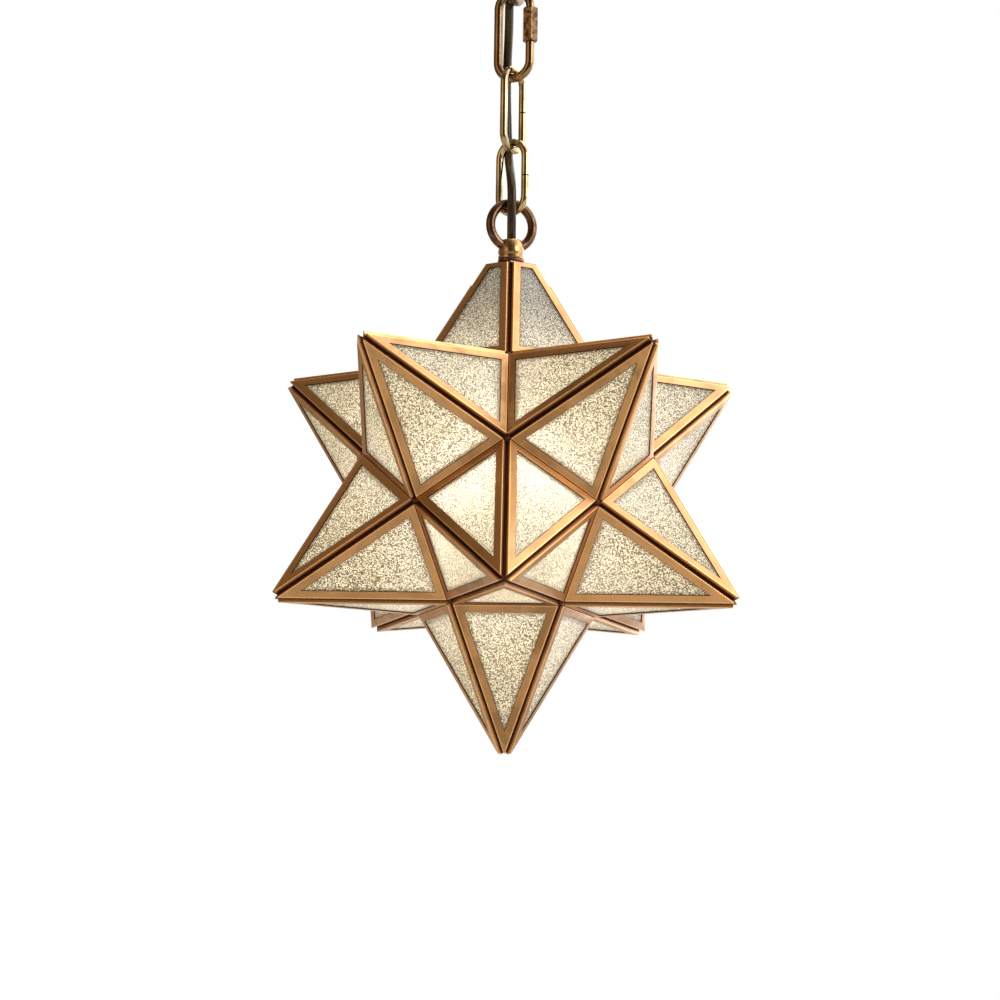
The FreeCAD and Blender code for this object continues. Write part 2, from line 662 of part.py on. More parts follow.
def canopy():
    """A domed cover with a short upright rim and a flat round its hole."""
    hole = THREAD_RADIUS
    low = -CANOPY_HEIGHT
    wall = CANOPY_WALL
    return turned([
        (CANOPY_RADIUS - wall, 0),
        (CANOPY_RADIUS - wall, -CANOPY_RIM),
        (CANOPY_SHOULDER, low + wall, CANOPY_BULGE),
        (hole, low + wall),
        (hole, low),
        (CANOPY_SHOULDER, low),
        (CANOPY_RADIUS, -CANOPY_RIM, -CANOPY_BULGE),
        (CANOPY_RADIUS, 0),
    ], CANOPY_SIDES)


def ceiling_bracket():
    """A strap with two slotted tabs on the ceiling and a dropped middle with the nipple's hole."""
    half = BRACKET_LENGTH / 2
    inner = half - BRACKET_TAB
    foot = inner - BRACKET_RISER
    sheet, drop = BRACKET_SHEET, BRACKET_DROP
    bend = sheet * (math.hypot(BRACKET_RISER, drop) - BRACKET_RISER) / drop
    right = [(foot, -drop), (inner, 0), (half, 0)]
    right += [(half, -sheet), (inner + bend, -sheet), (foot + bend, -drop - sheet)]
    left = [(-x, z) for x, z in reversed(right)]
    corners = [Vector(x, -BRACKET_WIDTH / 2, z) for x, z in right + left]
    strap = Part.Face(Part.makePolygon(corners + corners[:1])).extrude(Vector(0, BRACKET_WIDTH, 0))
    reach = SLOT_LENGTH / 2 - SLOT_RADIUS
    for side in (-1, 1):
        middle = side * SLOT_SPACING / 2
        slot = Part.makeBox(2 * reach, 2 * SLOT_RADIUS, 3 * sheet,
                            Vector(middle - reach, -SLOT_RADIUS, -2 * sheet))
        for end in (-reach, reach):
            slot = slot.fuse(Part.makeCylinder(SLOT_RADIUS, 3 * sheet, Vector(middle + end, 0, -2 * sheet)))
        strap = strap.cut(slot)
    under = -drop - 2 * sheet
    strap = strap.cut(tube(THREAD_RADIUS, 0, under, 3 * sheet, SMALL_SIDES))
    earth = tube(EARTH_SCREW_RADIUS + FIT_CLEARANCE, 0, under, 3 * sheet, WIRE_SIDES)
    earth.translate(Vector(-EARTH_SCREW_PLACE, 0, 0))
    return strap.cut(earth)


def bracket_nipple():
    """The tube from the bracket down into the canopy's loop."""
    top = -BRACKET_DROP + NUT_HEIGHT
    low = -CANOPY_HEIGHT - HUB_LENGTH / 2
    return tube(NIPPLE_RADIUS, BORE_RADIUS, low, top - low, SMALL_SIDES)


def bracket_nuts():
    """Two lock nuts, one on each side of the strap."""
    under = -BRACKET_DROP - BRACKET_SHEET
    return Part.makeCompound([lock_nut(-BRACKET_DROP), lock_nut(under - NUT_HEIGHT)])


def earth_screw():
    """A pan-head screw for the earth wire, from below."""
    under = -BRACKET_DROP - BRACKET_SHEET
    head_radius, head_height = 2 * EARTH_SCREW_RADIUS, 1.1 * EARTH_SCREW_RADIUS
    screw = turned([
        (0, under - head_height), (head_radius, under - head_height), (head_radius, under),
        (EARTH_SCREW_RADIUS, under), (EARTH_SCREW_RADIUS, under + EARTH_SCREW_LENGTH),
        (0, under + EARTH_SCREW_LENGTH),
    ], WIRE_SIDES)
    width = head_radius / 4
    slot = Part.makeBox(3 * head_radius, width, width,
                        Vector(-1.5 * head_radius, -width / 2, under - head_height))
    screw = screw.cut(slot)
    screw.translate(Vector(-EARTH_SCREW_PLACE, 0, 0))
    return screw


def terminal_block():
    """The connector on the bracket, with a pocket for the cord's end and three screw wells."""
    long, deep, high = TERMINAL_SIZE
    low = -BRACKET_DROP + NUT_HEIGHT
    block = Part.makeBox(long, deep, high, Vector(-long / 2, -deep / 2, low))
    block = block.cut(tube(BORE_RADIUS, 0, low, CORD_SEAT, SMALL_SIDES))
    well_depth = (high - CORD_SEAT) / 2
    for k in (-1, 0, 1):
        well = tube(TERMINAL_WELL_RADIUS, 0, low + high - well_depth, well_depth, WIRE_SIDES)
        well.translate(Vector(k * long / 3, 0, 0))
        block = block.cut(well)
    return block


# ---- cord ------------------------------------------------------------------------------------------------


def cord_stretches():
    """The corners of each free stretch, with the points where it meets its neighbours."""
    stretches = {name: [Vector(*corner) for corner in corners] for name, corners in CORD_ROUTE.items()}
    order = list(stretches.values())
    joins = [(one[-1] + two[0]) * 0.5 for one, two in zip(order, order[1:])]
    for one, two, join in zip(order, order[1:], joins):
        one.append(join)
        two.insert(0, join)
    return stretches


def cord(name, points):
    """A stretch of cord along straight runs joined by tangent arcs."""
    edges, last, radii = [], points[0], []
    for before, corner, after in zip(points, points[1:], points[2:]):
        back, ahead = (before - corner), (after - corner)
        cut = 0.45 * min(back.Length, ahead.Length)
        turn = math.pi - back.getAngle(ahead)
        radii.append(cut / math.tan(turn / 2))
        back.normalize()
        ahead.normalize()
        start, stop = corner + back * cut, corner + ahead * cut
        inward = (back + ahead).normalize()
        sag = radii[-1] / math.cos(turn / 2) - radii[-1]
        edges.append(Part.LineSegment(last, start).toShape())
        edges.append(Part.Arc(start, corner + inward * sag, stop).toShape())
        last = stop
    edges.append(Part.LineSegment(last, points[-1]).toShape())
    path = Part.Wire(edges)
    start = Placement(points[0], Rotation(Vector(0, 0, 1), points[1] - points[0]))
    angles = [2 * math.pi * k / WIRE_SIDES for k in range(WIRE_SIDES + 1)]
    radius = CORD_DIAMETER / 2
    ring = [start.multVec(Vector(radius * math.cos(angle), radius * math.sin(angle), 0)) for angle in angles]
    solid = path.makePipeShell([Part.makePolygon(ring)], True, True)
    section = WIRE_SIDES / 2 * math.sin(2 * math.pi / WIRE_SIDES) * radius**2
    share = solid.Volume / (section * path.Length)
    bends = ", ".join(f"{radius:.1f}" for radius in radii)
    print(f"{name}: length {path.Length:.1f}, bends {bends}, volume over section x length {share:.4f}")
    return solid


def cord_in_star():
    """The held stretch, straight down the nipple into the lampholder's core."""
    low = core_top() - CORD_SEAT
    high = CORD_ROUTE["cord_ring_stretch"][0][2]
    return tube(CORD_DIAMETER / 2, 0, low, high - low, WIRE_SIDES)


def cord_in_canopy():
    """The held stretch, straight up the nipple into the terminal block."""
    low = CORD_ROUTE["cord_quick_stretch"][-1][2]
    high = -BRACKET_DROP + NUT_HEIGHT + CORD_SEAT
    return tube(CORD_DIAMETER / 2, 0, low, high - low, WIRE_SIDES)


def build():
    nodes = star_points()
    makers = (
        star_loop, neck_cap, neck_bead, neck_disc, top_plate, plate_washer, plate_nut, star_nipple,
        holder_cap, holder_shell, holder_core, screw_shell, bulb_cap, bulb_glass, bulb_stem, bulb_filament,
        lower_link, upper_link, quick_link, quick_link_sleeve, canopy_loop, canopy, ceiling_bracket,
        bracket_nipple, bracket_nuts, earth_screw, terminal_block, cord_in_star, cord_in_canopy,
    )
    for make in makers:
        nodes[make.__name__] = make()
    for name, points in cord_stretches().items():
        nodes[name] = cord(name, points)
    return nodes


os.makedirs("parts", exist_ok=True)
for name, shape in build().items():
    shape.exportStep(f"parts/{name}.step")
    print(f"{name}: {len(shape.Solids)} solids, {shape.Volume / 1000:.2f} cm3")
pivots = (QUICK_PIVOT_Z, UPPER_PIVOT_Z, LOWER_PIVOT_Z, STAR_PIVOT_Z)
print(f"star centre at z = {STAR_Z:.2f}, pivots at z =", ", ".join(f"{z:.2f}" for z in pivots))
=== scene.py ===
"""Dresses a Moravian star pendant: sixty glazed frames, a cast ring, chain, cord, lamp and canopy.

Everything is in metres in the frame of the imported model: +Z up, the origin in the ceiling plane
above the star's axis, and the star's front towards -Y.
"""

import math

import bmesh
import bpy
from bpy.props import FloatProperty, FloatVectorProperty, PointerProperty
from mathutils import Matrix, Vector


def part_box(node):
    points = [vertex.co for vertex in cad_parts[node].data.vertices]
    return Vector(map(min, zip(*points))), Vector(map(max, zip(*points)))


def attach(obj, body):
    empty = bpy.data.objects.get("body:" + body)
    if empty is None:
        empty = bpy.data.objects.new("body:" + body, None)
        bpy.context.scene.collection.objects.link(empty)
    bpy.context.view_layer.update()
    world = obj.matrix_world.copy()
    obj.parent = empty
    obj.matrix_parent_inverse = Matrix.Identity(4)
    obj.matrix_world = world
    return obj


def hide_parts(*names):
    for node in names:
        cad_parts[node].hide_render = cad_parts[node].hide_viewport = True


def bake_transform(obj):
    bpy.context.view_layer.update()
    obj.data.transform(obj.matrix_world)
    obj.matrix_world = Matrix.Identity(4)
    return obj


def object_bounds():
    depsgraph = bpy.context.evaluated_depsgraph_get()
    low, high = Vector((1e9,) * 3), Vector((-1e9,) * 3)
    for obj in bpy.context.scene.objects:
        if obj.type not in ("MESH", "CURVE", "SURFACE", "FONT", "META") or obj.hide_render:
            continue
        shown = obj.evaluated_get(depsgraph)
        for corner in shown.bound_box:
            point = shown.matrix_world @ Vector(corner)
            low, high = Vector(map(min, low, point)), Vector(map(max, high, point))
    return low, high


bl_info = {
    "name": "Moravian Star Pendant",
    "version": (1, 0, 0),
    "blender": (4, 5, 0),
    "location": "View3D > Sidebar > Pendant",
    "description": "Builds a glazed twelve-pointed star pendant on its chain",
    "category": "Add Mesh",
}

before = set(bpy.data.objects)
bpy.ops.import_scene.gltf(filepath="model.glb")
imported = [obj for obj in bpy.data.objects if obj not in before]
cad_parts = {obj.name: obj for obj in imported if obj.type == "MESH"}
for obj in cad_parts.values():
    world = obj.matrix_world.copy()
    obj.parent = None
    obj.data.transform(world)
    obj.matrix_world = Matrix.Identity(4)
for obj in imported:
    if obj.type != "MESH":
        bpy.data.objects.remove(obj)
CAD_BOX = [list(corner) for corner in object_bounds()]

MM = 0.001
TOUCHING = 1e-7             # points closer than this are one
PHI = (1 + math.sqrt(5)) / 2
WHITE = (1, 1, 1, 1)
BLACK = (0, 0, 0, 1)
# Painted shade: the near-black rod that fills a link's joint stands for the shadow in it.
SEAM_SHADOW = (0.012, 0.006, 0.003, 1)

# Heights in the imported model.
STAR_Z = -0.4629
PLATE_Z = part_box("top_plate")[0].z
STAR_LOOP_Z = -0.2543
CANOPY_LOOP_Z = -0.0551
QUICK_PIVOT_Z = -0.07285
UPPER_PIVOT_Z = -0.13550
LOWER_PIVOT_Z = -0.19370

# The cast rings and their hubs, and the bore that the cord's nipples fill.
LOOP_OUTER = 0.043
LOOP_WIRE = 0.0075
HUB_SINK = 0.0116
HUB_LENGTH = 0.0135
NIPPLE_HOLE = 5.1 * MM

# Degrees about Z from the plane that faces the front.
STAR_LOOP_TWIST = 24
LOWER_LINK_TWIST = -37
UPPER_LINK_TWIST = 55
QUICK_TWIST = -22
CANOPY_LOOP_TWIST = 68


# ---- sizes and colours that a user may change ----


class StarSettings(bpy.types.PropertyGroup):
    core_edge: FloatProperty(
        name="Core edge", description="Edge of the twelve-sided body that the points stand on",
        default=0.086, min=0.02, unit="LENGTH")
    channel_depth: FloatProperty(
        name="Channel depth", description="How far a frame goes in from its face",
        default=0.0048, min=0.001, unit="LENGTH")
    flange_width: FloatProperty(
        name="Flange width", description="Metal seen round each pane",
        default=0.0063, min=0.001, unit="LENGTH")
    channel_wall: FloatProperty(
        name="Channel wall", description="Thickness of the sheet that the channel is folded from",
        default=0.0008, min=0.0002, unit="LENGTH")
    edge_round: FloatProperty(
        name="Edge rounding", description="Radius of the channel's folded outer edge",
        default=0.0006, min=0.0001, unit="LENGTH")
    copper: FloatVectorProperty(
        name="Copper", description="Colour of the frames' faces",
        default=(0.48, 0.252, 0.098), min=0, max=1, subtype="COLOR")
    # Painted shade: a dark colour for the shadow that falls in the grooves.
    groove: FloatVectorProperty(
        name="Groove", description="Colour of the dark shading in the grooves",
        default=(0.10, 0.032, 0.014), min=0, max=1, subtype="COLOR")
    glass: FloatVectorProperty(
        name="Glass", description="Tint of the hammered panes",
        default=(0.99, 0.95, 0.84), min=0, max=1, subtype="COLOR")


class ChainSettings(bpy.types.PropertyGroup):
    link_wire: FloatProperty(
        name="Link wire", description="Thickness of the two plain links",
        default=0.006, unit="LENGTH")
    link_width: FloatProperty(
        name="Link width", description="Outside width of the two plain links",
        default=0.031, unit="LENGTH")
    upper_length: FloatProperty(
        name="Upper link", description="Outside length of the upper link",
        default=0.071, unit="LENGTH")
    lower_length: FloatProperty(
        name="Lower link", description="Outside length of the lower link",
        default=0.0622, unit="LENGTH")
    quick_wire: FloatProperty(
        name="Screw-lock wire", description="Thickness of the screw-lock link",
        default=0.007, unit="LENGTH")
    quick_width: FloatProperty(
        name="Screw-lock width", description="Outside width of the screw-lock link",
        default=0.034, unit="LENGTH")
    quick_length: FloatProperty(
        name="Screw-lock length", description="Outside length of the screw-lock link",
        default=0.0772, unit="LENGTH")
    cord_diameter: FloatProperty(
        name="Cord", description="Thickness of the mains cord", default=0.007, unit="LENGTH")
    pale_brass: FloatVectorProperty(
        name="Pale brass", description="Colour of the two plain links",
        default=(0.50, 0.37, 0.19), min=0, max=1, subtype="COLOR")
    brown_brass: FloatVectorProperty(
        name="Brown brass", description="Colour of the screw-lock link",
        default=(0.27, 0.155, 0.072), min=0, max=1, subtype="COLOR")
    cast_copper: FloatVectorProperty(
        name="Cast copper", description="Colour of the cast ring and the neck",
        default=(0.155, 0.078, 0.040), min=0, max=1, subtype="COLOR")


class LampSettings(bpy.types.PropertyGroup):
    canopy_radius: FloatProperty(
        name="Canopy radius", description="Outside radius of the ceiling cover",
        default=0.060, unit="LENGTH")
    canopy_height: FloatProperty(
        name="Canopy height", description="How far the cover hangs below the ceiling",
        default=0.030, unit="LENGTH")
    glow: FloatProperty(
        name="Glow", description="Strength of the lit bulb", default=24.0, min=0)
    backdrop: FloatVectorProperty(
        name="Backdrop", description="Colour of the floor",
        default=(0.93, 0.93, 0.93), min=0, max=1, subtype="COLOR")


# ---- shader building ----


class Nodes:
    """A short way to add nodes to a tree and link them."""

    def __init__(self, tree):
        self.tree = tree

    def feed(self, node, inputs):
        """Each input, by its name or number, gets a value or a link."""
        for key, value in inputs.items():
            if isinstance(value, bpy.types.NodeSocket):
                self.tree.links.new(value, node.inputs[key])
            else:
                node.inputs[key].default_value = value

    def add(self, kind, inputs=None, **settings):
        node = self.tree.nodes.new(kind)
        for key, value in settings.items():
            setattr(node, key, value)
        self.feed(node, inputs or {})
        return node

    def where(self):
        """Each point's place in the piece's own space."""
        return self.add("ShaderNodeTexCoord").outputs["Object"]

    def uv(self, name):
        return self.add("ShaderNodeUVMap", uv_map=name).outputs["UV"]

    def attribute(self, name):
        return self.add("ShaderNodeAttribute", attribute_name=name).outputs["Fac"]

    def part(self, vector, axis):
        return self.add("ShaderNodeSeparateXYZ", {"Vector": vector}).outputs[axis]

    def stretched(self, vector, scale):
        node = self.add("ShaderNodeMapping", {"Vector": vector, "Scale": scale})
        return node.outputs["Vector"]

    def vector(self, operation, *values, result="Vector"):
        node = self.add("ShaderNodeVectorMath", dict(enumerate(values)), operation=operation)
        return node.outputs[result]

    def math(self, operation, *values):
        return self.add("ShaderNodeMath", dict(enumerate(values)), operation=operation).outputs[0]

    def times(self, one, two):
        return self.math("MULTIPLY", one, two)

    def plus(self, base, value, factor):
        """base + value * factor."""
        return self.math("MULTIPLY_ADD", value, factor, base)

    def band(self, value, low, high, start=0.0, stop=1.0):
        """A smooth step from start to stop while the value goes from low to high."""
        node = self.add("ShaderNodeMapRange", {
            "Value": value, "From Min": low, "From Max": high, "To Min": start, "To Max": stop,
        }, interpolation_type="SMOOTHSTEP")
        return node.outputs["Result"]

    def mix(self, factor, one, two, blend="MIX"):
        node = self.add("ShaderNodeMix", {0: factor, 6: one, 7: two}, data_type="RGBA",
                        blend_type=blend)
        return node.outputs[2]

    def noise(self, vector, scale, detail=3.0, roughness=0.5, distortion=0.0, result="Fac"):
        node = self.add("ShaderNodeTexNoise", {
            "Vector": vector, "Scale": scale, "Detail": detail, "Roughness": roughness,
            "Distortion": distortion,
        })
        return node.outputs[result]

    def bump(self, height, distance, strength=1.0):
        """A normal that follows a height."""
        node = self.add("ShaderNodeBump", {
            "Height": height, "Distance": distance, "Strength": strength})
        return node.outputs["Normal"]


def shade(colour, factor=1.0):
    """An opaque colour, made darker or brighter."""
    return (*(part * factor for part in colour[:3]), 1.0)


def tones(colour, bright, dark):
    """A metal's bright and tarnished colours."""
    return shade(colour, bright), shade(colour, dark)


def new_tree(name, kind, inputs, outputs):
    """A node group with named sockets: its tree, its nodes, what it is given and its output."""
    tree = bpy.data.node_groups.new(name, kind)
    for side, sockets in (("INPUT", inputs), ("OUTPUT", outputs)):
        for label, sort in sockets.items():
            tree.interface.new_socket(label, in_out=side, socket_type="NodeSocket" + sort)
    nodes = Nodes(tree)
    return tree, nodes, nodes.add("NodeGroupInput").outputs, nodes.add("NodeGroupOutput")


def tarnish_group():
    """Cloudy tarnish, fine specks and a little unevenness, for every metal of the pendant."""
    if "Tarnish" in bpy.data.node_groups:
        return bpy.data.node_groups["Tarnish"]
    tree, nodes, given, out = new_tree(
        "Tarnish", "ShaderNodeTree",
        {"Vector": "Vector", "Cloud size": "Float", "Speck size": "Float", "Bright": "Color",
         "Dark": "Color", "Roughness": "Float", "Specks": "Float"},
        {"Colour": "Color", "Roughness": "Float", "Height": "Float"})
    cloud = nodes.noise(given["Vector"], given["Cloud size"], 4, 0.6, 0.6)
    speck = nodes.noise(given["Vector"], given["Speck size"], 2, 0.6)
    amount = nodes.band(cloud, 0.35, 0.68)
    specks = nodes.band(speck, 0.60, 0.72, 0.0, given["Specks"])
    nodes.feed(out, {
        "Colour": nodes.mix(specks, nodes.mix(amount, given["Bright"], given["Dark"]),
                            given["Dark"]),
        "Roughness": nodes.plus(nodes.plus(given["Roughness"], amount, 0.12), specks, 0.25),
        "Height": nodes.plus(cloud, speck, 0.15),
    })
    return tree


def tarnish(nodes, bright, dark, roughness, cloud, speck, specks=0.35):
    """The shared tarnish. cloud and speck are noise scales, specks is how dark the specks are."""
    return nodes.add("ShaderNodeGroup", {
        "Vector": nodes.where(), "Cloud size": cloud, "Speck size": speck, "Bright": bright,
        "Dark": dark, "Roughness": roughness, "Specks": specks,
    }, node_tree=tarnish_group()).outputs


def new_material(name):
    """A material with a surface shader linked to its output."""
    material = bpy.data.materials.new(name)
    material.use_nodes = True
    material.node_tree.nodes.clear()
    nodes = Nodes(material.node_tree)
    surface = nodes.add("ShaderNodeBsdfPrincipled")
    nodes.output = nodes.add("ShaderNodeOutputMaterial", {"Surface": surface.outputs["BSDF"]})
    return material, nodes, surface


def metal(name, bright, dark, roughness, cloud=60.0, speck=1500.0, relief=0.04 * MM, specks=0.35):
    """A solid metal, tarnished in the piece's own space. Seam faces are painted dark, as shade."""
    material, nodes, surface = new_material(name)
    coat = tarnish(nodes, bright, dark, roughness, cloud, speck, specks)
    seam = nodes.attribute("seam")
    nodes.feed(surface, {
        "Base Color": nodes.mix(seam, coat["Colour"], SEAM_SHADOW),
        "Roughness": nodes.math("MAXIMUM", coat["Roughness"], seam),
        "Metallic": 1.0, "Normal": nodes.bump(coat["Height"], relief),
    })
    return material


def frame_metal(settings):
    """Brushed antique copper, grained along each bar, with painted shade and painted highlights."""
    material, nodes, surface = new_material("antique_copper")
    copper, uv = settings.copper, nodes.uv("bar")
    grain = nodes.noise(nodes.stretched(uv, (12.0, 900.0, 1.0)), 1.0, 3, 0.6)
    coat = tarnish(nodes, *tones(copper, 1.18, 0.72), 0.26, 28.0, 1800.0)
    face = nodes.mix(nodes.times(grain, 0.35), coat["Colour"], shade(copper, 0.55))
    face = nodes.mix(nodes.times(nodes.attribute("tone"), 0.45), face, shade(copper, 1.45))

    # How far across the channel's section a point lies: up its side, then over its face.
    across = nodes.part(uv, "Y")
    side = settings.channel_depth - settings.edge_round
    inner = side + settings.flange_width
    # Painted shade at the groove's root, along the valley seam and at the flange's inner edge.
    root = nodes.band(across, side * 0.34, side * 0.84, 1.0, 0.0)
    seam = nodes.band(across, side + 0.5 * MM, side + 1.0 * MM, 1.0, 0.0)
    seam = nodes.times(nodes.attribute("valley"), seam)
    inside = nodes.band(across, inner - 0.1 * MM, inner + 0.3 * MM)
    groove = nodes.math("MAXIMUM", nodes.math("MAXIMUM", root, seam), inside)
    # A painted highlight, with some wear from rubbing, along the folded edge.
    highlight_and_wear = nodes.times(nodes.band(across, side - 0.2 * MM, side + 0.3 * MM),
                         nodes.band(across, side + 0.9 * MM, side + 1.6 * MM, 1.0, 0.0))
    colour = nodes.mix(nodes.times(highlight_and_wear, 0.75), face, shade(copper, 2.0))
    nodes.feed(surface, {
        "Base Color": nodes.mix(groove, colour, shade(settings.groove)),
        "Roughness": nodes.plus(nodes.plus(coat["Roughness"], grain, 0.14), groove, 0.18),
        "Metallic": 1.0, "Normal": nodes.bump(grain, 0.03 * MM, 0.6),
    })
    return material


def rim_shade(nodes, middle, shape):
    """Painted shade's mask: 1 beside the channel that holds a pane, 0 a few millimetres in from it.

    Every pane lies in a plane of the core, and its edges lie in others, so of the distances to all
    those planes the smallest is to the pane's own and the next is to its nearest edge.
    """
    smallest = second = None
    for axis in map(aim, POINTS):
        if axis.z < 0:
            continue
        along = nodes.math("ABSOLUTE", nodes.vector("DOT_PRODUCT", middle, axis, result="Value"))
        inside = nodes.math("SUBTRACT", shape.face, along)
        gap = nodes.math("MAXIMUM", nodes.math("SUBTRACT", inside, shape.ridge * 0.9),
                         nodes.times(inside, -1.0))
        if smallest is None:
            smallest, second = gap, 1.0
        else:
            second = nodes.math("MINIMUM", second, nodes.math("MAXIMUM", smallest, gap))
            smallest = nodes.math("MINIMUM", smallest, gap)
    return nodes.band(second, 5.4 * MM, 9.2 * MM, 1.0, 0.0)


def hammered_glass(settings):
    """Straw-tinted hammered glass with painted highlights, shade and a glow from the lamp."""
    material, nodes, surface = new_material("hammered_glass")
    where = nodes.where()
    warp_scale, dent_scale, fine_scale, cloud_scale = 620.0, 780.0, 1250.0, 22.0
    warp = nodes.noise(where, warp_scale, 2, result="Color")
    offset = nodes.add("ShaderNodeVectorMath", {0: warp, "Scale": 1.8 * MM}, operation="SCALE")
    dent = nodes.add("ShaderNodeTexVoronoi", {
        "Vector": nodes.vector("ADD", where, offset.outputs["Vector"]), "Scale": dent_scale,
        "Smoothness": 0.3,
    }, feature="SMOOTH_F1").outputs["Distance"]
    fine = nodes.noise(where, fine_scale, 3, 0.65)
    middle = nodes.vector("SUBTRACT", where, (0.0, 0.0, STAR_Z))
    # Painted shade at the pane's rim, where the channel's back flange keeps the lamp's light off.
    rim = rim_shade(nodes, middle, StarShape(settings))
    # Painted shade in the dents and at the rim: darker in colour and in glow.
    pit_shade = nodes.band(nodes.plus(nodes.plus(dent, rim, 0.17), fine, 0.55), 0.72, 0.80)
    # Painted highlights: pale specks in the glass's colour.
    painted_glint = nodes.band(fine, 0.56, 0.66)
    broad = nodes.band(nodes.noise(where, cloud_scale, 2), 0.35, 0.7, 0.0, 0.25)
    tint = nodes.mix(nodes.times(pit_shade, 0.9), shade(settings.glass), (0.20, 0.14, 0.07, 1))
    tint = nodes.mix(nodes.times(painted_glint, 0.7), tint, (1.0, 0.99, 0.93, 1))
    tint = nodes.mix(broad, tint, shade(settings.glass, 0.8))

    # Painted lamplight: the pane glows, less away from the lamp, in the dents and by the channel.
    away = nodes.vector("LENGTH", middle, result="Value")
    near = nodes.band(away, 0.104, 0.150, 1.0, 0.0)
    full_at, falloff = 0.120, 0.7
    painted_glow = nodes.math("POWER", nodes.math("DIVIDE", full_at, away), falloff)
    painted_glow = nodes.plus(painted_glow, near, 0.25)
    # Painted shade: the glow fades towards the top, where the lampholder would shade the panes.
    shaded = nodes.band(nodes.part(middle, "Z"), 0.07, 0.16, 1.0, 0.22)
    warmth = nodes.mix(near, (1.0, 0.89, 0.60, 1), (1.0, 0.96, 0.84, 1))
    lit = nodes.mix(1.0, tint, warmth, "MULTIPLY")
    lit = nodes.mix(nodes.times(pit_shade, nodes.plus(0.95, near, -0.5)), lit, (0.05, 0.028, 0.010, 1))
    lit = nodes.mix(nodes.times(rim, 0.35), lit, (0.22, 0.13, 0.04, 1))
    nodes.feed(surface, {
        "Base Color": tint, "Emission Strength": 0.58,
        "Emission Color": nodes.mix(nodes.times(painted_glow, shaded), BLACK, lit),
        "Roughness": nodes.band(dent, 0.1, 0.6, 0.16, 0.34),
        "Transmission Weight": 0.65, "IOR": 1.45,
        "Normal": nodes.bump(nodes.plus(dent, fine, 0.5), 1.0 * MM),
    })
    return material


def clear_glass(name, tint):
    material, nodes, surface = new_material(name)
    haze = nodes.noise(nodes.where(), 45.0, 2)
    nodes.feed(surface, {
        "Base Color": nodes.mix(nodes.band(haze, 0.4, 0.7, 0.0, 0.25), tint, (0.9, 0.88, 0.84, 1)),
        "Roughness": nodes.band(haze, 0.3, 0.7, 0.02, 0.08), "Transmission Weight": 1.0,
    })
    return material


def lit_glass(strength):
    """The bulb's envelope while it is lit: warm white, a little less towards its neck."""
    material, nodes, surface = new_material("bulb_glow")
    where = nodes.where()
    low = STAR_Z - 30 * MM
    share = nodes.band(nodes.part(where, "Z"), low, low + 75 * MM, 1.0, 0.35)
    haze = nodes.noise(where, 60.0, 2)
    colour = nodes.mix(share, (1.0, 0.84, 0.62, 1), (1.0, 0.97, 0.92, 1))
    colour = nodes.mix(nodes.band(haze, 0.3, 0.7, 0.0, 0.15), colour, (1.0, 0.90, 0.76, 1))
    nodes.feed(surface, {
        "Base Color": colour, "Emission Color": colour, "Emission Strength": strength,
        "Roughness": nodes.band(haze, 0.3, 0.7, 0.2, 0.3),
    })
    return material


def plastic(name, bright, dark, roughness):
    material, nodes, surface = new_material(name)
    where = nodes.where()
    cloud = nodes.band(nodes.noise(where, 90.0, 3, 0.55), 0.35, 0.7)
    fine = nodes.noise(where, 1800.0, 2)
    nodes.feed(surface, {
        "Base Color": nodes.mix(cloud, bright, dark),
        "Roughness": nodes.band(fine, 0.3, 0.7, roughness, roughness + 0.15),
        "Normal": nodes.bump(fine, 0.03 * MM),
    })
    return material


def cord_jacket():
    """A clear jacket over two twisted strands: olive brown with long pale and dark streaks."""
    material, nodes, surface = new_material("cord_jacket")
    uv = nodes.uv("tube")
    lay = nodes.plus(nodes.times(nodes.part(uv, "Y"), 2.0), nodes.part(uv, "X"), 9.0)
    wave = nodes.math("SINE", nodes.times(lay, math.tau))
    fine = nodes.noise(nodes.stretched(uv, (60.0, 14.0, 1.0)), 1.0, 3, 0.6)
    colour = nodes.mix(nodes.band(wave, -0.7, 0.8), (0.016, 0.007, 0.003, 1),
                       (0.080, 0.050, 0.016, 1))
    streaks = nodes.band(fine, 0.45, 0.75, 0.0, 0.5)
    nodes.feed(surface, {
        "Base Color": nodes.mix(streaks, colour, (0.17, 0.125, 0.045, 1)),
        "Roughness": nodes.band(fine, 0.3, 0.7, 0.18, 0.32), "Specular IOR Level": 0.2,
        "Normal": nodes.bump(wave, 0.25 * MM, 0.5),
    })
    return material


# ---- objects and meshes ----


def new_object(name, data):
    """An object at the origin, in the scene."""
    thing = bpy.data.objects.new(name, data)
    bpy.context.scene.collection.objects.link(thing)
    return thing


def coat_with(mesh, material):
    mesh.materials.clear()
    mesh.materials.append(material)


def from_bmesh(name, work, material=None, sharp=35):
    """An object from the faces in work, smooth apart from the edges over sharp degrees."""
    mesh = bpy.data.meshes.new(name)
    work.to_mesh(mesh)
    work.free()
    if material:
        coat_with(mesh, material)
    if sharp:
        mesh.shade_smooth()
        mesh.set_sharp_from_angle(angle=math.radians(sharp))
    return new_object(name, mesh)


def modify(thing, kind, **settings):
    modifier = thing.modifiers.new(kind, kind)
    for key, value in settings.items():
        setattr(modifier, key, value)


def grow(thing, tree, **inputs):
    """The object gets a Geometry Nodes tree with the named inputs."""
    modifier = thing.modifiers.new(tree.name, "NODES")
    modifier.node_group = tree
    for item in tree.interface.items_tree:
        if item.in_out == "INPUT" and item.name in inputs:
            modifier[item.identifier] = inputs[item.name]


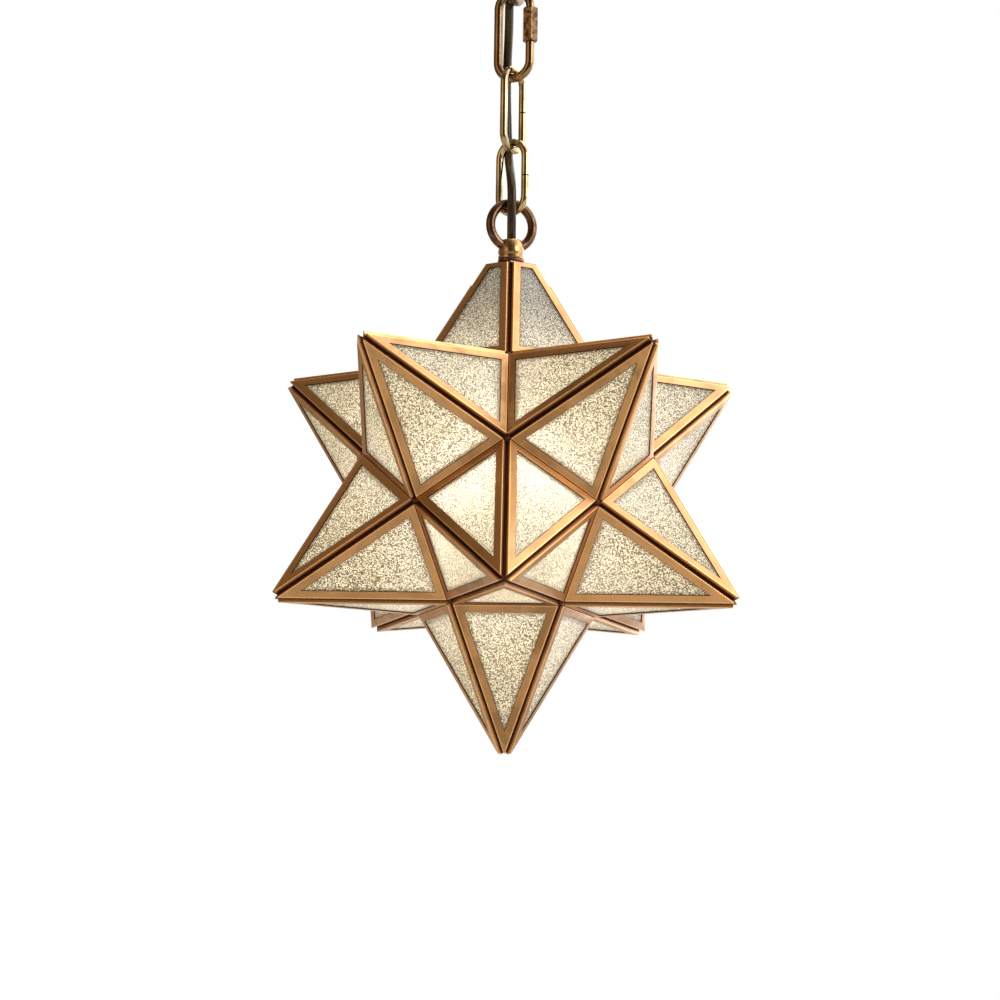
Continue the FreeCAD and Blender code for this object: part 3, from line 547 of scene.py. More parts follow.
def evaluated_mesh(thing):
    """The object's shape with its modifiers carried out."""
    bpy.context.view_layer.update()
    graph = bpy.context.evaluated_depsgraph_get()
    return bpy.data.meshes.new_from_object(thing.evaluated_get(graph),
                                           preserve_all_data_layers=True, depsgraph=graph)


def finished(thing):
    """The same object with its modifiers carried out."""
    mesh = evaluated_mesh(thing)
    thing.modifiers.clear()
    thing.data = mesh
    return thing


def dress(thing, node, body):
    """The piece stands for a node and rides on its body."""
    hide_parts(node)
    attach(thing, body)


def paint(material, *nodes):
    """Nodes that keep their shape get a finish."""
    for node in nodes:
        coat_with(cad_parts[node].data, material)


def heights(node):
    """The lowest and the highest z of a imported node."""
    low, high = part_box(node)
    return low.z, high.z


def ring_of(work, centre, side, other, radius, sides):
    """Vertices on a circle round centre, in the plane of side and other."""
    turns = [math.tau * n / sides for n in range(sides)]
    return [work.verts.new(centre + (side * math.cos(turn) + other * math.sin(turn)) * radius)
            for turn in turns]


def bridge(work, one, two):
    """Faces between two rings of vertices."""
    count = len(one)
    return [work.faces.new((one[n], one[(n + 1) % count], two[(n + 1) % count], two[n]))
            for n in range(count)]


def close_up(work, rings):
    """Faces from each ring to the next, all the way round, with touching points merged."""
    for k, ring in enumerate(rings):
        bridge(work, ring, rings[(k + 1) % len(rings)])
    bmesh.ops.remove_doubles(work, verts=work.verts, dist=TOUCHING)
    bmesh.ops.dissolve_degenerate(work, edges=work.edges, dist=TOUCHING / 10)
    bmesh.ops.recalc_face_normals(work, faces=work.faces)


def cap_ends(work, first, last):
    """The end faces of a tube."""
    return [work.faces.new(first[::-1]), work.faces.new(last)]


def add_rod(work, start, stop, radius, sides=6):
    """A closed straight rod between two points. Gives its faces."""
    along = (stop - start).normalized()
    side = along.orthogonal().normalized()
    ends = [ring_of(work, place, side, along.cross(side), radius, sides)
            for place in (start, stop)]
    return bridge(work, *ends) + cap_ends(work, *ends)


def in_metres(corners, height=0.0):
    """(r, z) corners given in millimetres from a height."""
    return [(r * MM, height + z * MM) for r, z in corners]


def rounded(profile, radius):
    """The closed outline of (r, z) corners with each corner off the axis cut to a small round."""
    almost_straight = math.radians(160)
    result = []
    count = len(profile)
    for k, corner in enumerate(profile):
        before, after = Vector(profile[k - 1]), Vector(profile[(k + 1) % count])
        here = Vector(corner)
        back, ahead = before - here, after - here
        cut = min(radius, back.length * 0.4, ahead.length * 0.4)
        if here.x < TOUCHING or cut < 10 * TOUCHING or back.angle(ahead) > almost_straight:
            result.append(corner)
            continue
        start, stop = here + back.normalized() * cut, here + ahead.normalized() * cut
        for share in (0, 1 / 3, 2 / 3, 1):
            point = start * (1 - share) ** 2 + here * 2 * share * (1 - share) + stop * share ** 2
            result.append((point.x, point.y))
    return result


def tube_outline(node, inside, outside, edge):
    """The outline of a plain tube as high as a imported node, with rounded edges."""
    low, high = heights(node)
    return rounded([(inside, low), (outside, low), (outside, high), (inside, high)], edge)


def bulged(start, stop, bulge, steps=10):
    """Points after start, to stop, on an arc whose middle stands off to the left by bulge."""
    a, b = Vector(start), Vector(stop)
    half = (b - a).length / 2
    turn = 4 * math.atan(bulge / half)
    along, left = (b - a).normalized(), Vector((-(b - a).y, (b - a).x)).normalized()
    points = []
    for step in range(1, steps + 1):
        angle = turn * (step / steps - 0.5)
        reach = half * (math.sin(angle) / math.sin(turn / 2) + 1)
        off = half * (math.cos(angle) - math.cos(turn / 2)) / math.sin(turn / 2)
        point = a + along * reach + left * off
        points.append((point.x, point.y))
    return points


def lathe(name, profile, material=None, steps=72, wobble=None):
    """A closed outline of (r, z) corners carried round Z. wobble(angle, r, z) may change an r."""
    work = bmesh.new()
    rings = []
    for step in range(steps):
        angle = math.tau * step / steps
        ring = []
        for r, z in profile:
            reach = wobble(angle, r, z) if wobble else r
            ring.append(work.verts.new((reach * math.cos(angle), reach * math.sin(angle), z)))
        rings.append(ring)
    close_up(work, rings)
    return from_bmesh(name, work, material)


def tube_mesh(name, points, radius, material, begin=0.0, sides=24):
    """A round tube along points. Its UV map, tube, has the length from begin and the turn."""
    work = bmesh.new()
    uv = work.loops.layers.uv.new("tube")
    last = len(points) - 1
    side = Vector((0, 1, 0)).cross((points[1] - points[0]).normalized())
    rings, lengths = [], [begin]
    for k, point in enumerate(points):
        tangent = (points[min(k + 1, last)] - points[max(k - 1, 0)]).normalized()
        side = (side - tangent * side.dot(tangent)).normalized()
        rings.append(ring_of(work, point, side, tangent.cross(side), radius, sides))
        if k:
            lengths.append(lengths[-1] + (point - points[k - 1]).length)
    for one, two, low, high in zip(rings, rings[1:], lengths, lengths[1:]):
        for n, face in enumerate(bridge(work, one, two)):
            ends = ((low, n), (low, n + 1), (high, n + 1), (high, n))
            for loop, (x, y) in zip(face.loops, ends):
                loop[uv].uv = (x, y / sides)
    cap_ends(work, rings[0], rings[-1])
    bmesh.ops.recalc_face_normals(work, faces=work.faces)
    return from_bmesh(name, work, material)


def turned_about(point, degrees):
    """A point of the XZ plane turned about Z."""
    return Matrix.Rotation(math.radians(degrees), 3, "Z") @ Vector(point)


# ---- the star's panels ----


# Each point's azimuth, and whether it leans up or down; the top and the bottom stand upright.
POINTS = {
    "top": (0, 90),
    "upper_front_left": (-36, 1), "upper_front_right": (36, 1),
    "upper_side_left": (-108, 1), "upper_side_right": (108, 1),
    "upper_back": (180, 1),
    "lower_front": (0, -1),
    "lower_side_left": (-72, -1), "lower_side_right": (72, -1),
    "lower_back_left": (-144, -1), "lower_back_right": (144, -1),
    "bottom": (0, -90),
}
FRAME_GAP = 0.05 * MM       # from a frame to the line that it shares with its neighbour
TIP_WIDTH = 1.05 * MM       # of a panel's blunt tip
SOLDER_RADIUS = 0.6 * MM
SEAM_DEPTH = 0.85 * MM
BLOB_RADIUS = 3.8 * MM
BLOB_DEPTH = 5.2 * MM
BACK_DROP = 16 * MM         # how much lower the top point's other panels stop than its front two


def aim(point):
    """The direction of a point from the star's centre."""
    azimuth, tilt = POINTS[point]
    elevation = math.radians(tilt) if abs(tilt) == 90 else tilt * math.atan(0.5)
    a = math.radians(azimuth)
    flat = math.cos(elevation)
    return Vector((math.sin(a) * flat, -math.cos(a) * flat, math.sin(elevation)))


class StarShape:
    """The star's working sizes, from the core edge."""

    def __init__(self, settings):
        edge = settings.core_edge
        self.middle = edge * PHI ** 2 / 2
        self.face = edge * PHI ** 2 / (2 * math.sqrt(3 - PHI))
        self.height = edge * math.sqrt(PHI ** 2 - 0.25)
        foot = edge / 2 / math.tan(math.pi / 5)
        self.apex = self.face + math.sqrt(self.height ** 2 - foot ** 2)
        self.slope = (self.apex - self.face) / self.height
        self.slant = math.atan2(self.height, edge / 2)
        self.ridge = settings.channel_depth / PHI + FRAME_GAP

    def outline(self, inset, top=None):
        """Corners of a panel drawn in on every side: its base's left and right, then its tip's."""
        base = FRAME_GAP + inset
        apex = self.height - (self.ridge + inset) / math.cos(self.slant)
        if top is None:
            top = self.height - self.ridge / math.cos(self.slant)
            top -= TIP_WIDTH / 2 * math.tan(self.slant)
        high = min(top - inset, apex - 0.3 * MM)
        half_base = (apex - base) / math.tan(self.slant)
        half_top = (apex - high) / math.tan(self.slant)
        return [Vector((-half_base, base)), Vector((half_base, base)),
                Vector((half_top, high)), Vector((-half_top, high))]

    def places(self, point):
        """For each of a point's panels: its base's middle, its turn, the way to its neighbour."""
        axis = aim(point)
        for other in POINTS:
            beside = aim(other)
            if not 0.3 < axis.dot(beside) < 0.9:
                continue
            middle = (axis + beside).normalized() * self.middle
            along = axis.cross(beside).normalized()
            up = (axis * self.apex - middle).normalized()
            outward = along.cross(up)
            if outward.dot(middle) < 0:
                along, outward = -along, -outward
            turn = Matrix((along, up, outward)).transposed()
            yield middle + Vector((0, 0, STAR_Z)), turn, beside


def panel_frame(shape, settings, name, top=None):
    """One mitred channel in its own plane. Its UV map, bar, runs along a bar, then across it."""
    depth, width = settings.channel_depth, settings.flange_width
    wall, r = settings.channel_wall, settings.edge_round
    section = [(0, -depth), (0, -r), (r * 0.12, -r * 0.42), (r * 0.42, -r * 0.12), (r, 0),
               (width - r * 0.5, 0), (width - r * 0.1, -r * 0.15), (width, -r * 0.5),
               (width, -wall), (wall, -wall), (wall, wall - depth), (width, wall - depth),
               (width, -depth)]
    across = [0.0]
    for one, two in zip(section, section[1:] + section[:1]):
        across.append(across[-1] + math.dist(one, two))
    work = bmesh.new()
    uv = work.loops.layers.uv.new("bar")
    valley = work.faces.layers.float.new("valley")
    loops = [[work.verts.new((*corner, low)) for corner in shape.outline(inset, top)]
             for inset, low in section]
    corners = [corner.to_3d() for corner in shape.outline(0, top)]
    for k, one in enumerate(loops):
        low, high = across[k:k + 2]
        for n, face in enumerate(bridge(work, one, loops[(k + 1) % len(loops)])):
            along = (corners[(n + 1) % 4] - corners[n]).normalized()
            face[valley] = float(n == 0)
            for loop, value in zip(face.loops, (low, low, high, high)):
                loop[uv].uv = (loop.vert.co.dot(along) + n * 0.37, value)
    add_solder(work, shape, settings, corners)
    bmesh.ops.recalc_face_normals(work, faces=work.faces)
    return from_bmesh(name, work, sharp=None)


def add_solder(work, shape, settings, corners):
    """Solder in the root of one ridge groove, behind the valley seam and at one base corner."""
    left, right, tip = corners[:3]
    root = Vector((0, 0, -settings.channel_depth))
    add_rod(work, right + root, tip + root, SOLDER_RADIUS)
    add_rod(work, Vector((left.x, 0, -SEAM_DEPTH)), Vector((right.x, 0, -SEAM_DEPTH)),
            SOLDER_RADIUS)
    corner = Vector((settings.core_edge / 2, 0, 0))
    centre = Vector((0, -math.sqrt(shape.middle ** 2 - shape.face ** 2), -shape.face))
    inward = (centre - corner).normalized()
    blob = bmesh.ops.create_icosphere(work, subdivisions=2, radius=BLOB_RADIUS)
    bmesh.ops.translate(work, verts=blob["verts"], vec=corner + inward * BLOB_DEPTH)


def finish_tree(nodes, geometry, given, out):
    """A tree's last steps: everything real, and the metal on it."""
    real = nodes.add("GeometryNodeRealizeInstances", {"Geometry": geometry})
    coat = nodes.add("GeometryNodeSetMaterial", {
        "Geometry": real.outputs["Geometry"], "Material": given["Metal"]})
    nodes.feed(out, {"Geometry": coat.outputs["Geometry"]})


def panel_tree():
    """Geometry Nodes: one panel on each place, turned as the place says."""
    tree, nodes, given, out = new_tree(
        "Panels on a point", "GeometryNodeTree",
        {"Geometry": "Geometry", "Panel": "Object", "Metal": "Material"},
        {"Geometry": "Geometry"})
    panel = nodes.add("GeometryNodeObjectInfo", {"Object": given["Panel"]})
    turn = nodes.add("GeometryNodeInputNamedAttribute", {"Name": "turn"},
                     data_type="FLOAT_VECTOR")
    rotation = nodes.add("FunctionNodeEulerToRotation", {"Euler": turn.outputs["Attribute"]})
    place = nodes.add("GeometryNodeInstanceOnPoints", {
        "Points": given["Geometry"], "Instance": panel.outputs["Geometry"],
        "Rotation": rotation.outputs["Rotation"]})
    finish_tree(nodes, place.outputs["Instances"], given, out)
    return tree


def panels_on(tree, name, places, panel, material):
    """A piece with one panel on each (where, turn, tone) place."""
    mesh = bpy.data.meshes.new(name)
    mesh.from_pydata([place[0] for place in places], [], [])
    mesh.attributes.new("turn", "FLOAT_VECTOR", "POINT")
    mesh.attributes.new("tone", "FLOAT", "POINT")
    for k, (_, turn, tone) in enumerate(places):
        mesh.attributes["turn"].data[k].vector = turn.to_euler("XYZ")
        mesh.attributes["tone"].data[k].value = tone
    thing = new_object(name, mesh)
    grow(thing, tree, Panel=panel, Metal=material)
    return finished(thing)


def cut_flat(thing, height):
    """What stands over a height is cut off, and the cut is closed."""
    work = bmesh.new()
    work.from_mesh(thing.data)
    everything = work.verts[:] + work.edges[:] + work.faces[:]
    cut = bmesh.ops.bisect_plane(work, geom=everything, plane_co=(0, 0, height),
                                 plane_no=(0, 0, 1), clear_outer=True)
    edges = [part for part in cut["geom_cut"] if isinstance(part, bmesh.types.BMEdge)]
    bmesh.ops.holes_fill(work, edges=edges)
    work.to_mesh(thing.data)
    work.free()


class PENDANT_OT_frames(bpy.types.Operator):
    """Add the sixty mitred channel frames, five to each point"""
    bl_idname = "pendant.frames"
    bl_label = "Panel frames"

    def execute(self, context):
        settings = context.scene.pendant_star
        shape = StarShape(settings)
        copper = frame_metal(settings)
        tree = panel_tree()
        front_top = (PLATE_Z - STAR_Z - shape.face) / shape.slope
        back_top = front_top - BACK_DROP / shape.slope
        front_top += settings.channel_depth * math.sqrt(1 - shape.slope ** 2) / shape.slope
        tops = {"whole": None, "front": front_top, "back": back_top}
        panels = {sort: panel_frame(shape, settings, "panel_" + sort, top)
                  for sort, top in tops.items()}
        for number, point in enumerate(POINTS):
            sorts = {}
            for k, (where, turn, beside) in enumerate(shape.places(point)):
                sort = "whole"
                if point == "top":
                    sort = "front" if beside.y < -0.5 else "back"
                tone = 0.5 + 0.5 * math.sin(7.3 * number + 2.9 * k)
                sorts.setdefault(sort, []).append((where, turn, tone))
            work = bmesh.new()
            for sort, places in sorts.items():
                piece = panels_on(tree, f"{point}_{sort}", places, panels[sort], copper)
                if sort == "front":
                    cut_flat(piece, PLATE_Z)
                work.from_mesh(piece.data)
                bpy.data.objects.remove(piece)
            whole = from_bmesh(f"frames_{point}", work, copper, 40)
            dress(whole, f"point_frames_{point}", "star_body")
        for panel in panels.values():
            bpy.data.objects.remove(panel)
        return {"FINISHED"}


class PENDANT_OT_glass(bpy.types.Operator):
    """Give the sixty panes their hammered glass"""
    bl_idname = "pendant.glass"
    bl_label = "Hammered panes"

    def execute(self, context):
        glass = hammered_glass(context.scene.pendant_star)
        paint(glass, *(f"point_glass_{point}" for point in POINTS))
        return {"FINISHED"}


# ---- neck, rings and chain ----


def plain_ring(name, wire, centre_z, twist):
    """A ring of round wire that stands upright, turned about Z."""
    steps, sides = 72, 20
    radius = (LOOP_OUTER - LOOP_WIRE) / 2
    work = bmesh.new()
    rings = []
    for step in range(steps):
        angle = math.tau * step / steps
        ring = []
        for n in range(sides):
            around = math.tau * n / sides
            reach = radius + wire / 2 * math.cos(around)
            point = (reach * math.cos(angle), wire / 2 * math.sin(around),
                     centre_z + reach * math.sin(angle))
            ring.append(work.verts.new(turned_about(point, twist)))
        rings.append(ring)
    close_up(work, rings)
    return from_bmesh(name, work)


def cast_ring(name, centre_z, up, twist, material):
    """A ring melted together with its bored hub, which stands up (1) or hangs down (-1)."""
    hub_radius, collar_radius, collar_height, bore_radius = 6.8 * MM, 11 * MM, 3 * MM, 3.9 * MM
    ring = plain_ring(name, LOOP_WIRE, centre_z, twist)
    near, far = centre_z + up * HUB_SINK, centre_z + up * (HUB_SINK + HUB_LENGTH)
    end = [(hub_radius, far)]
    if up > 0:
        collar = far - collar_height
        end = [(hub_radius, collar), (collar_radius, collar), (collar_radius, far)]
    outline = [(0, near), (hub_radius, near), *end, (0, far)]
    hub = lathe(name + "_hub", rounded(outline, 0.8 * MM))
    start, middle, stop = near - up * 6 * MM, (near + far) / 2, far + up * MM
    bore = lathe(name + "_bore", [
        (0, start), (bore_radius, start), (bore_radius, middle), (NIPPLE_HOLE, middle),
        (NIPPLE_HOLE, stop), (0, stop)], steps=48)
    modify(ring, "BOOLEAN", object=hub, operation="UNION", solver="EXACT")
    modify(ring, "BOOLEAN", object=bore, operation="DIFFERENCE", solver="EXACT")
    modify(ring, "REMESH", mode="VOXEL", voxel_size=0.45 * MM)
    modify(ring, "SMOOTH", iterations=4, factor=0.5)
    finished(ring)
    for other in (hub, bore):
        bpy.data.objects.remove(other)
    coat_with(ring.data, material)
    ring.data.shade_smooth()
    return ring


def long_nut(name, node, bore, material):
    """A six-sided nut with chamfered ends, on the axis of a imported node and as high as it."""
    low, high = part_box(node)
    middle = (low + high) / 2
    spots = [v.co.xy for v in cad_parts[node].data.vertices]
    corner = max(math.dist(spot, middle.xy) for spot in spots)
    first = next(math.atan2(spot.y - middle.y, spot.x - middle.x) for spot in spots
                 if math.dist(spot, middle.xy) > corner - 0.02 * MM)
    flat, chamfer, steepness = corner * math.cos(math.pi / 6), 0.35 * MM, 1.6

    def six_sided(angle, r, z):
        if r < bore + 0.2 * MM:
            return r
        turn = (angle - first) % (math.pi / 3) - math.pi / 6
        end = min(z - low.z, high.z - z)
        return min(flat / math.cos(turn), flat - chamfer + end * steepness)
    side = [(corner, low.z + up * MM) for up in (0, 0.35, 0.7, 1.1)]
    side += [(r, high.z - (z - low.z)) for r, z in side[::-1]]
    nut = lathe(name, [(bore, low.z), *side, (bore, high.z)], material, 96, six_sided)
    nut.data.transform(Matrix.Translation((middle.x, middle.y, 0)))
    return nut


def wire_tree():
    """Geometry Nodes: round wire along a curve, with its ends capped."""
    tree, nodes, given, out = new_tree(
        "Bent wire", "GeometryNodeTree",
        {"Geometry": "Geometry", "Radius": "Float", "Sides": "Int", "Metal": "Material"},
        {"Geometry": "Geometry"})
    circle = nodes.add("GeometryNodeCurvePrimitiveCircle", {
        "Radius": given["Radius"], "Resolution": given["Sides"]})
    sweep = nodes.add("GeometryNodeCurveToMesh", {
        "Curve": given["Geometry"], "Profile Curve": circle.outputs["Curve"], "Fill Caps": True})
    finish_tree(nodes, sweep.outputs["Mesh"], given, out)
    return tree


def link_path(wire, width, length, top_z, twist, gap_top, gap):
    """A link's centre line, from the gap's lower end round to its upper end, turned about Z."""
    bend, arc_steps = (width - wire) / 2, 24
    points = [(bend, gap_top - gap)]
    for centre, first in ((top_z - length + width / 2, 0), (top_z - width / 2, math.pi)):
        for step in range(arc_steps + 1):
            angle = first - math.pi * step / arc_steps
            points.append((bend * math.cos(angle), centre + bend * math.sin(angle)))
    points.append((bend, gap_top))
    return [turned_about((x, 0, z), twist) for x, z in points]


def curve_object(name, kind, points):
    """An object with one open spline, and the spline."""
    curve = bpy.data.curves.new(name, "CURVE")
    curve.dimensions = "3D"
    spline = curve.splines.new(kind)
    spline.points.add(len(points) - 1)
    for target, point in zip(spline.points, points):
        target.co = (*point, 1)
    return new_object(name, curve), spline


def wire_piece(tree, name, points, radius, material, joined=False):
    """Round wire along the points. A joined wire has a rod of painted shade where its ends meet."""
    thing, _ = curve_object(name, "POLY", points)
    grow(thing, tree, Radius=radius, Sides=24, Metal=material)
    work = bmesh.new()
    work.from_mesh(evaluated_mesh(thing))
    bpy.data.objects.remove(thing)
    bmesh.ops.remove_doubles(work, verts=work.verts, dist=TOUCHING)
    if joined:
        seam = work.faces.layers.float.new("seam")
        for face in add_rod(work, points[0], points[-1], radius * 0.93, 20):
            face[seam] = 1.0
    bmesh.ops.recalc_face_normals(work, faces=work.faces)
    return from_bmesh(name, work, material, 50)


class PENDANT_OT_castings(bpy.types.Operator):
    """Add the star's cast ring and the ceiling loop"""
    bl_idname = "pendant.castings"
    bl_label = "Cast rings"

    def execute(self, context):
        colour = context.scene.pendant_chain.cast_copper
        cast = metal("cast_copper", *tones(colour, 1.25, 0.55), 0.24, 90.0, 900.0, 0.06 * MM)
        dress(cast_ring("ring_casting", STAR_LOOP_Z, -1, STAR_LOOP_TWIST, cast),
              "star_loop", "star_body")
        dress(cast_ring("ceiling_loop_casting", CANOPY_LOOP_Z, 1, CANOPY_LOOP_TWIST, cast),
              "canopy_loop", "ceiling_fitting")
        return {"FINISHED"}


class PENDANT_OT_chain(bpy.types.Operator):
    """Add the two plain links, the screw-lock link and its sleeve"""
    bl_idname = "pendant.chain"
    bl_label = "Chain"

    def execute(self, context):
        chain = context.scene.pendant_chain
        polish = {"cloud": 24.0, "speck": 400.0, "relief": 0.002 * MM, "specks": 0.08}
        pale = metal("link_brass", *tones(chain.pale_brass, 1.12, 0.60), 0.12, **polish)
        brown = metal("quick_brass", *tones(chain.brown_brass, 1.15, 0.55), 0.16, **polish)
        nut = metal("sleeve_brass", *tones(chain.brown_brass, 0.75, 0.16), 0.2, 260.0, 700.0)
        tree = wire_tree()
        hang, seam, gate, gate_drop = 0.3 * MM, 0.9 * MM, 9 * MM, 4 * MM
        wire, thick = chain.link_wire, chain.quick_wire
        for name, length, top, twist in (
                ("upper_link", chain.upper_length, UPPER_PIVOT_Z + thick / 2 + hang + wire,
                 UPPER_LINK_TWIST),
                ("lower_link", chain.lower_length, LOWER_PIVOT_Z + wire / 2 + hang + wire,
                 LOWER_LINK_TWIST)):
            path = link_path(wire, chain.link_width, length, top, twist,
                             top - length / 2 + seam / 2, seam)
            piece = wire_piece(tree, name + "_wire", path, wire / 2, pale, joined=True)
            dress(piece, name, name + "_body")
        top = QUICK_PIVOT_Z + LOOP_WIRE / 2 + hang + thick
        path = link_path(thick, chain.quick_width, chain.quick_length, top, QUICK_TWIST,
                         top - chain.quick_width / 2 - gate_drop, gate)
        dress(wire_piece(tree, "quick_link_wire", path, thick / 2, brown),
              "quick_link", "quick_link_body")
        dress(long_nut("quick_link_nut", "quick_link_sleeve", thick / 2 + hang, nut),
              "quick_link_sleeve", "sleeve_body")
        return {"FINISHED"}


class PENDANT_OT_neck(bpy.types.Operator):
    """Add the neck's turned cap, bead and disc, and finish the plate, nipple, washer and nut"""
    bl_idname = "pendant.neck"
    bl_label = "Neck"

    def execute(self, context):
        copper = context.scene.pendant_chain.cast_copper
        bright = metal("neck_brass", (0.62, 0.36, 0.14, 1), (0.30, 0.15, 0.06, 1), 0.2, 160.0)
        dull = metal("neck_copper", *tones(copper, 1.5, 0.7), 0.3, 150.0)
        plate = metal("plate_copper", (0.30, 0.16, 0.08, 1), (0.16, 0.08, 0.04, 1), 0.34)
        steel = metal("plated_steel", (0.58, 0.57, 0.54, 1), (0.38, 0.37, 0.35, 1), 0.3)
        foot, top = heights("neck_cap")
        foot_radius, top_radius, swell = 10.2 * MM, 7.75 * MM, 1 * MM
        outer = bulged((foot_radius, foot), (top_radius, top), -swell)
        inner = bulged((6.95 * MM, top), (9.4 * MM, foot), swell)
        profile = in_metres(((10.0, 0), (10.2, 0.9), (10.15, 2.0), (9.55, 2.7), (9.55, 3.2)), foot)
        profile += [spot for spot in outer if foot + 3.6 * MM < spot[1] < top - 0.4 * MM]
        profile += in_metres(((7.75, -0.3), (7.5, 0), (6.95, 0)), top) + inner[:-1]
        profile += [(9.4 * MM, foot)]
        cap = lathe("neck_bell", profile, bright)
        ring = plain_ring("ring_clearance", LOOP_WIRE + 0.3 * MM, STAR_LOOP_Z, STAR_LOOP_TWIST)
        modify(cap, "BOOLEAN", object=ring, solver="EXACT")
        finished(cap)
        bpy.data.objects.remove(ring)
        cap.data.set_sharp_from_angle(angle=math.radians(35))
        dress(cap, "neck_cap", "star_body")

        low, high = heights("neck_bead")
        edge, half = 10.6 * MM, (high - low) / 2
        waist = edge - half
        belly = bulged((waist, low), (waist, high), 0.05 * MM - half)
        bead = lathe("neck_ring_bead", [(NIPPLE_HOLE, low), (waist, low), *belly,
                                        (NIPPLE_HOLE, high)], dull)
        dress(bead, "neck_bead", "star_body")
        profile = tube_outline("neck_disc", NIPPLE_HOLE, foot_radius, 0.5 * MM)
        dress(lathe("neck_flange_disc", profile, dull), "neck_disc", "star_body")
        paint(plate, "top_plate")
        paint(steel, "star_nipple", "plate_washer", "plate_nut")
        return {"FINISHED"}


# ---- cord ----


# Each stretch: the bodies at its lower and upper end, and its control points.
CORD = {
    "ring_stretch": ("star_body", "lower_link_body", [
        (0, 0, -0.2739), (0, 0, -0.2599), (0, -0.0106, -0.2430), (0, -0.0106, -0.2240)]),
    "lower_stretch": ("lower_link_body", "upper_link_body", [
        (-0.0036, 0.0125, -0.1947), (-0.0043, 0.0125, -0.1762)]),
    "upper_stretch": ("upper_link_body", "quick_link_body", [
        (-0.0056, 0.0110, -0.1475), (-0.0052, 0.0114, -0.1190)]),
    "quick_stretch": ("quick_link_body", "ceiling_fitting", [
        (-0.0042, 0.0110, -0.09185), (-0.0044, 0.0113, -0.06585), (0, 0, -0.0500),
        (0, 0, -0.0295)]),
}


def cord_controls():
    """Each stretch's control points. Neighbours share the middle of the run between them."""
    stretches = [[Vector(point) for point in points] for _, _, points in CORD.values()]
    joins = [(one[-1] + two[0]) / 2 for one, two in zip(stretches, stretches[1:])]
    for one, two, meet in zip(stretches, stretches[1:], joins):
        one.append(meet)
        two.insert(0, meet)
    return stretches


def spline_points(name, controls):
    """Points along the smooth line that the control points make."""
    thing, spline = curve_object(name, "NURBS", controls)
    spline.order_u = 3
    spline.use_endpoint_u = True
    spline.resolution_u = 16
    bpy.context.view_layer.update()
    mesh = bpy.data.meshes.new_from_object(thing)
    points = [v.co.copy() for v in mesh.vertices]
    bpy.data.objects.remove(thing)
    bpy.data.meshes.remove(mesh)
    return points


class PENDANT_OT_cord(bpy.types.Operator):
    """Add the mains cord, which weaves through the ring and the chain"""
    bl_idname = "pendant.cord"
    bl_label = "Mains cord"

    def execute(self, context):
        diameter = context.scene.pendant_chain.cord_diameter
        jacket = cord_jacket()
        laid = 0.0
        for (name, (below, above, _)), controls in zip(CORD.items(), cord_controls()):
            points = spline_points(f"cord_{name}_line", controls)
            piece = tube_mesh("cord_jacket_" + name, points, diameter / 2, jacket, laid)
            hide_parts("cord_" + name)
            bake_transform(piece)
            length = sum((b - a).length for a, b in zip(points, points[1:]))
            laid += length
        for name, body in (("cord_in_star", "star_body"), ("cord_in_canopy", "ceiling_fitting")):
            low, high = heights(name)
            points = [Vector((0, 0, low + (high - low) * k / 8)) for k in range(9)]
            dress(tube_mesh(name + "_jacket", points, diameter / 2, jacket),
                  name, body)
        return {"FINISHED"}


# ---- lamp and canopy ----


def threaded(pitch, depth, low, high, core):
    """A lathe's wobble that cuts a round thread between two heights, outside a core."""
    def change(angle, r, z):
        if low < z < high and r > core:
            return r - depth * (0.5 + 0.5 * math.cos(math.tau * z / pitch - angle))
        return r
    return change


def bulb_outline(high, centre, radius, neck):
    """A bulb's side from its neck down to its lowest point, a ball with a hollow shoulder."""
    shoulder, hollow, steps = math.radians(38), 1.6 * MM, 24
    meets = (radius * math.cos(shoulder), centre + radius * math.sin(shoulder))
    points = bulged((neck, high), meets, -hollow, 8)
    for k in range(1, steps + 1):
        angle = shoulder - (shoulder + math.pi / 2) * k / steps
        points.append((max(radius * math.cos(angle), 0), centre + radius * math.sin(angle)))
    return points


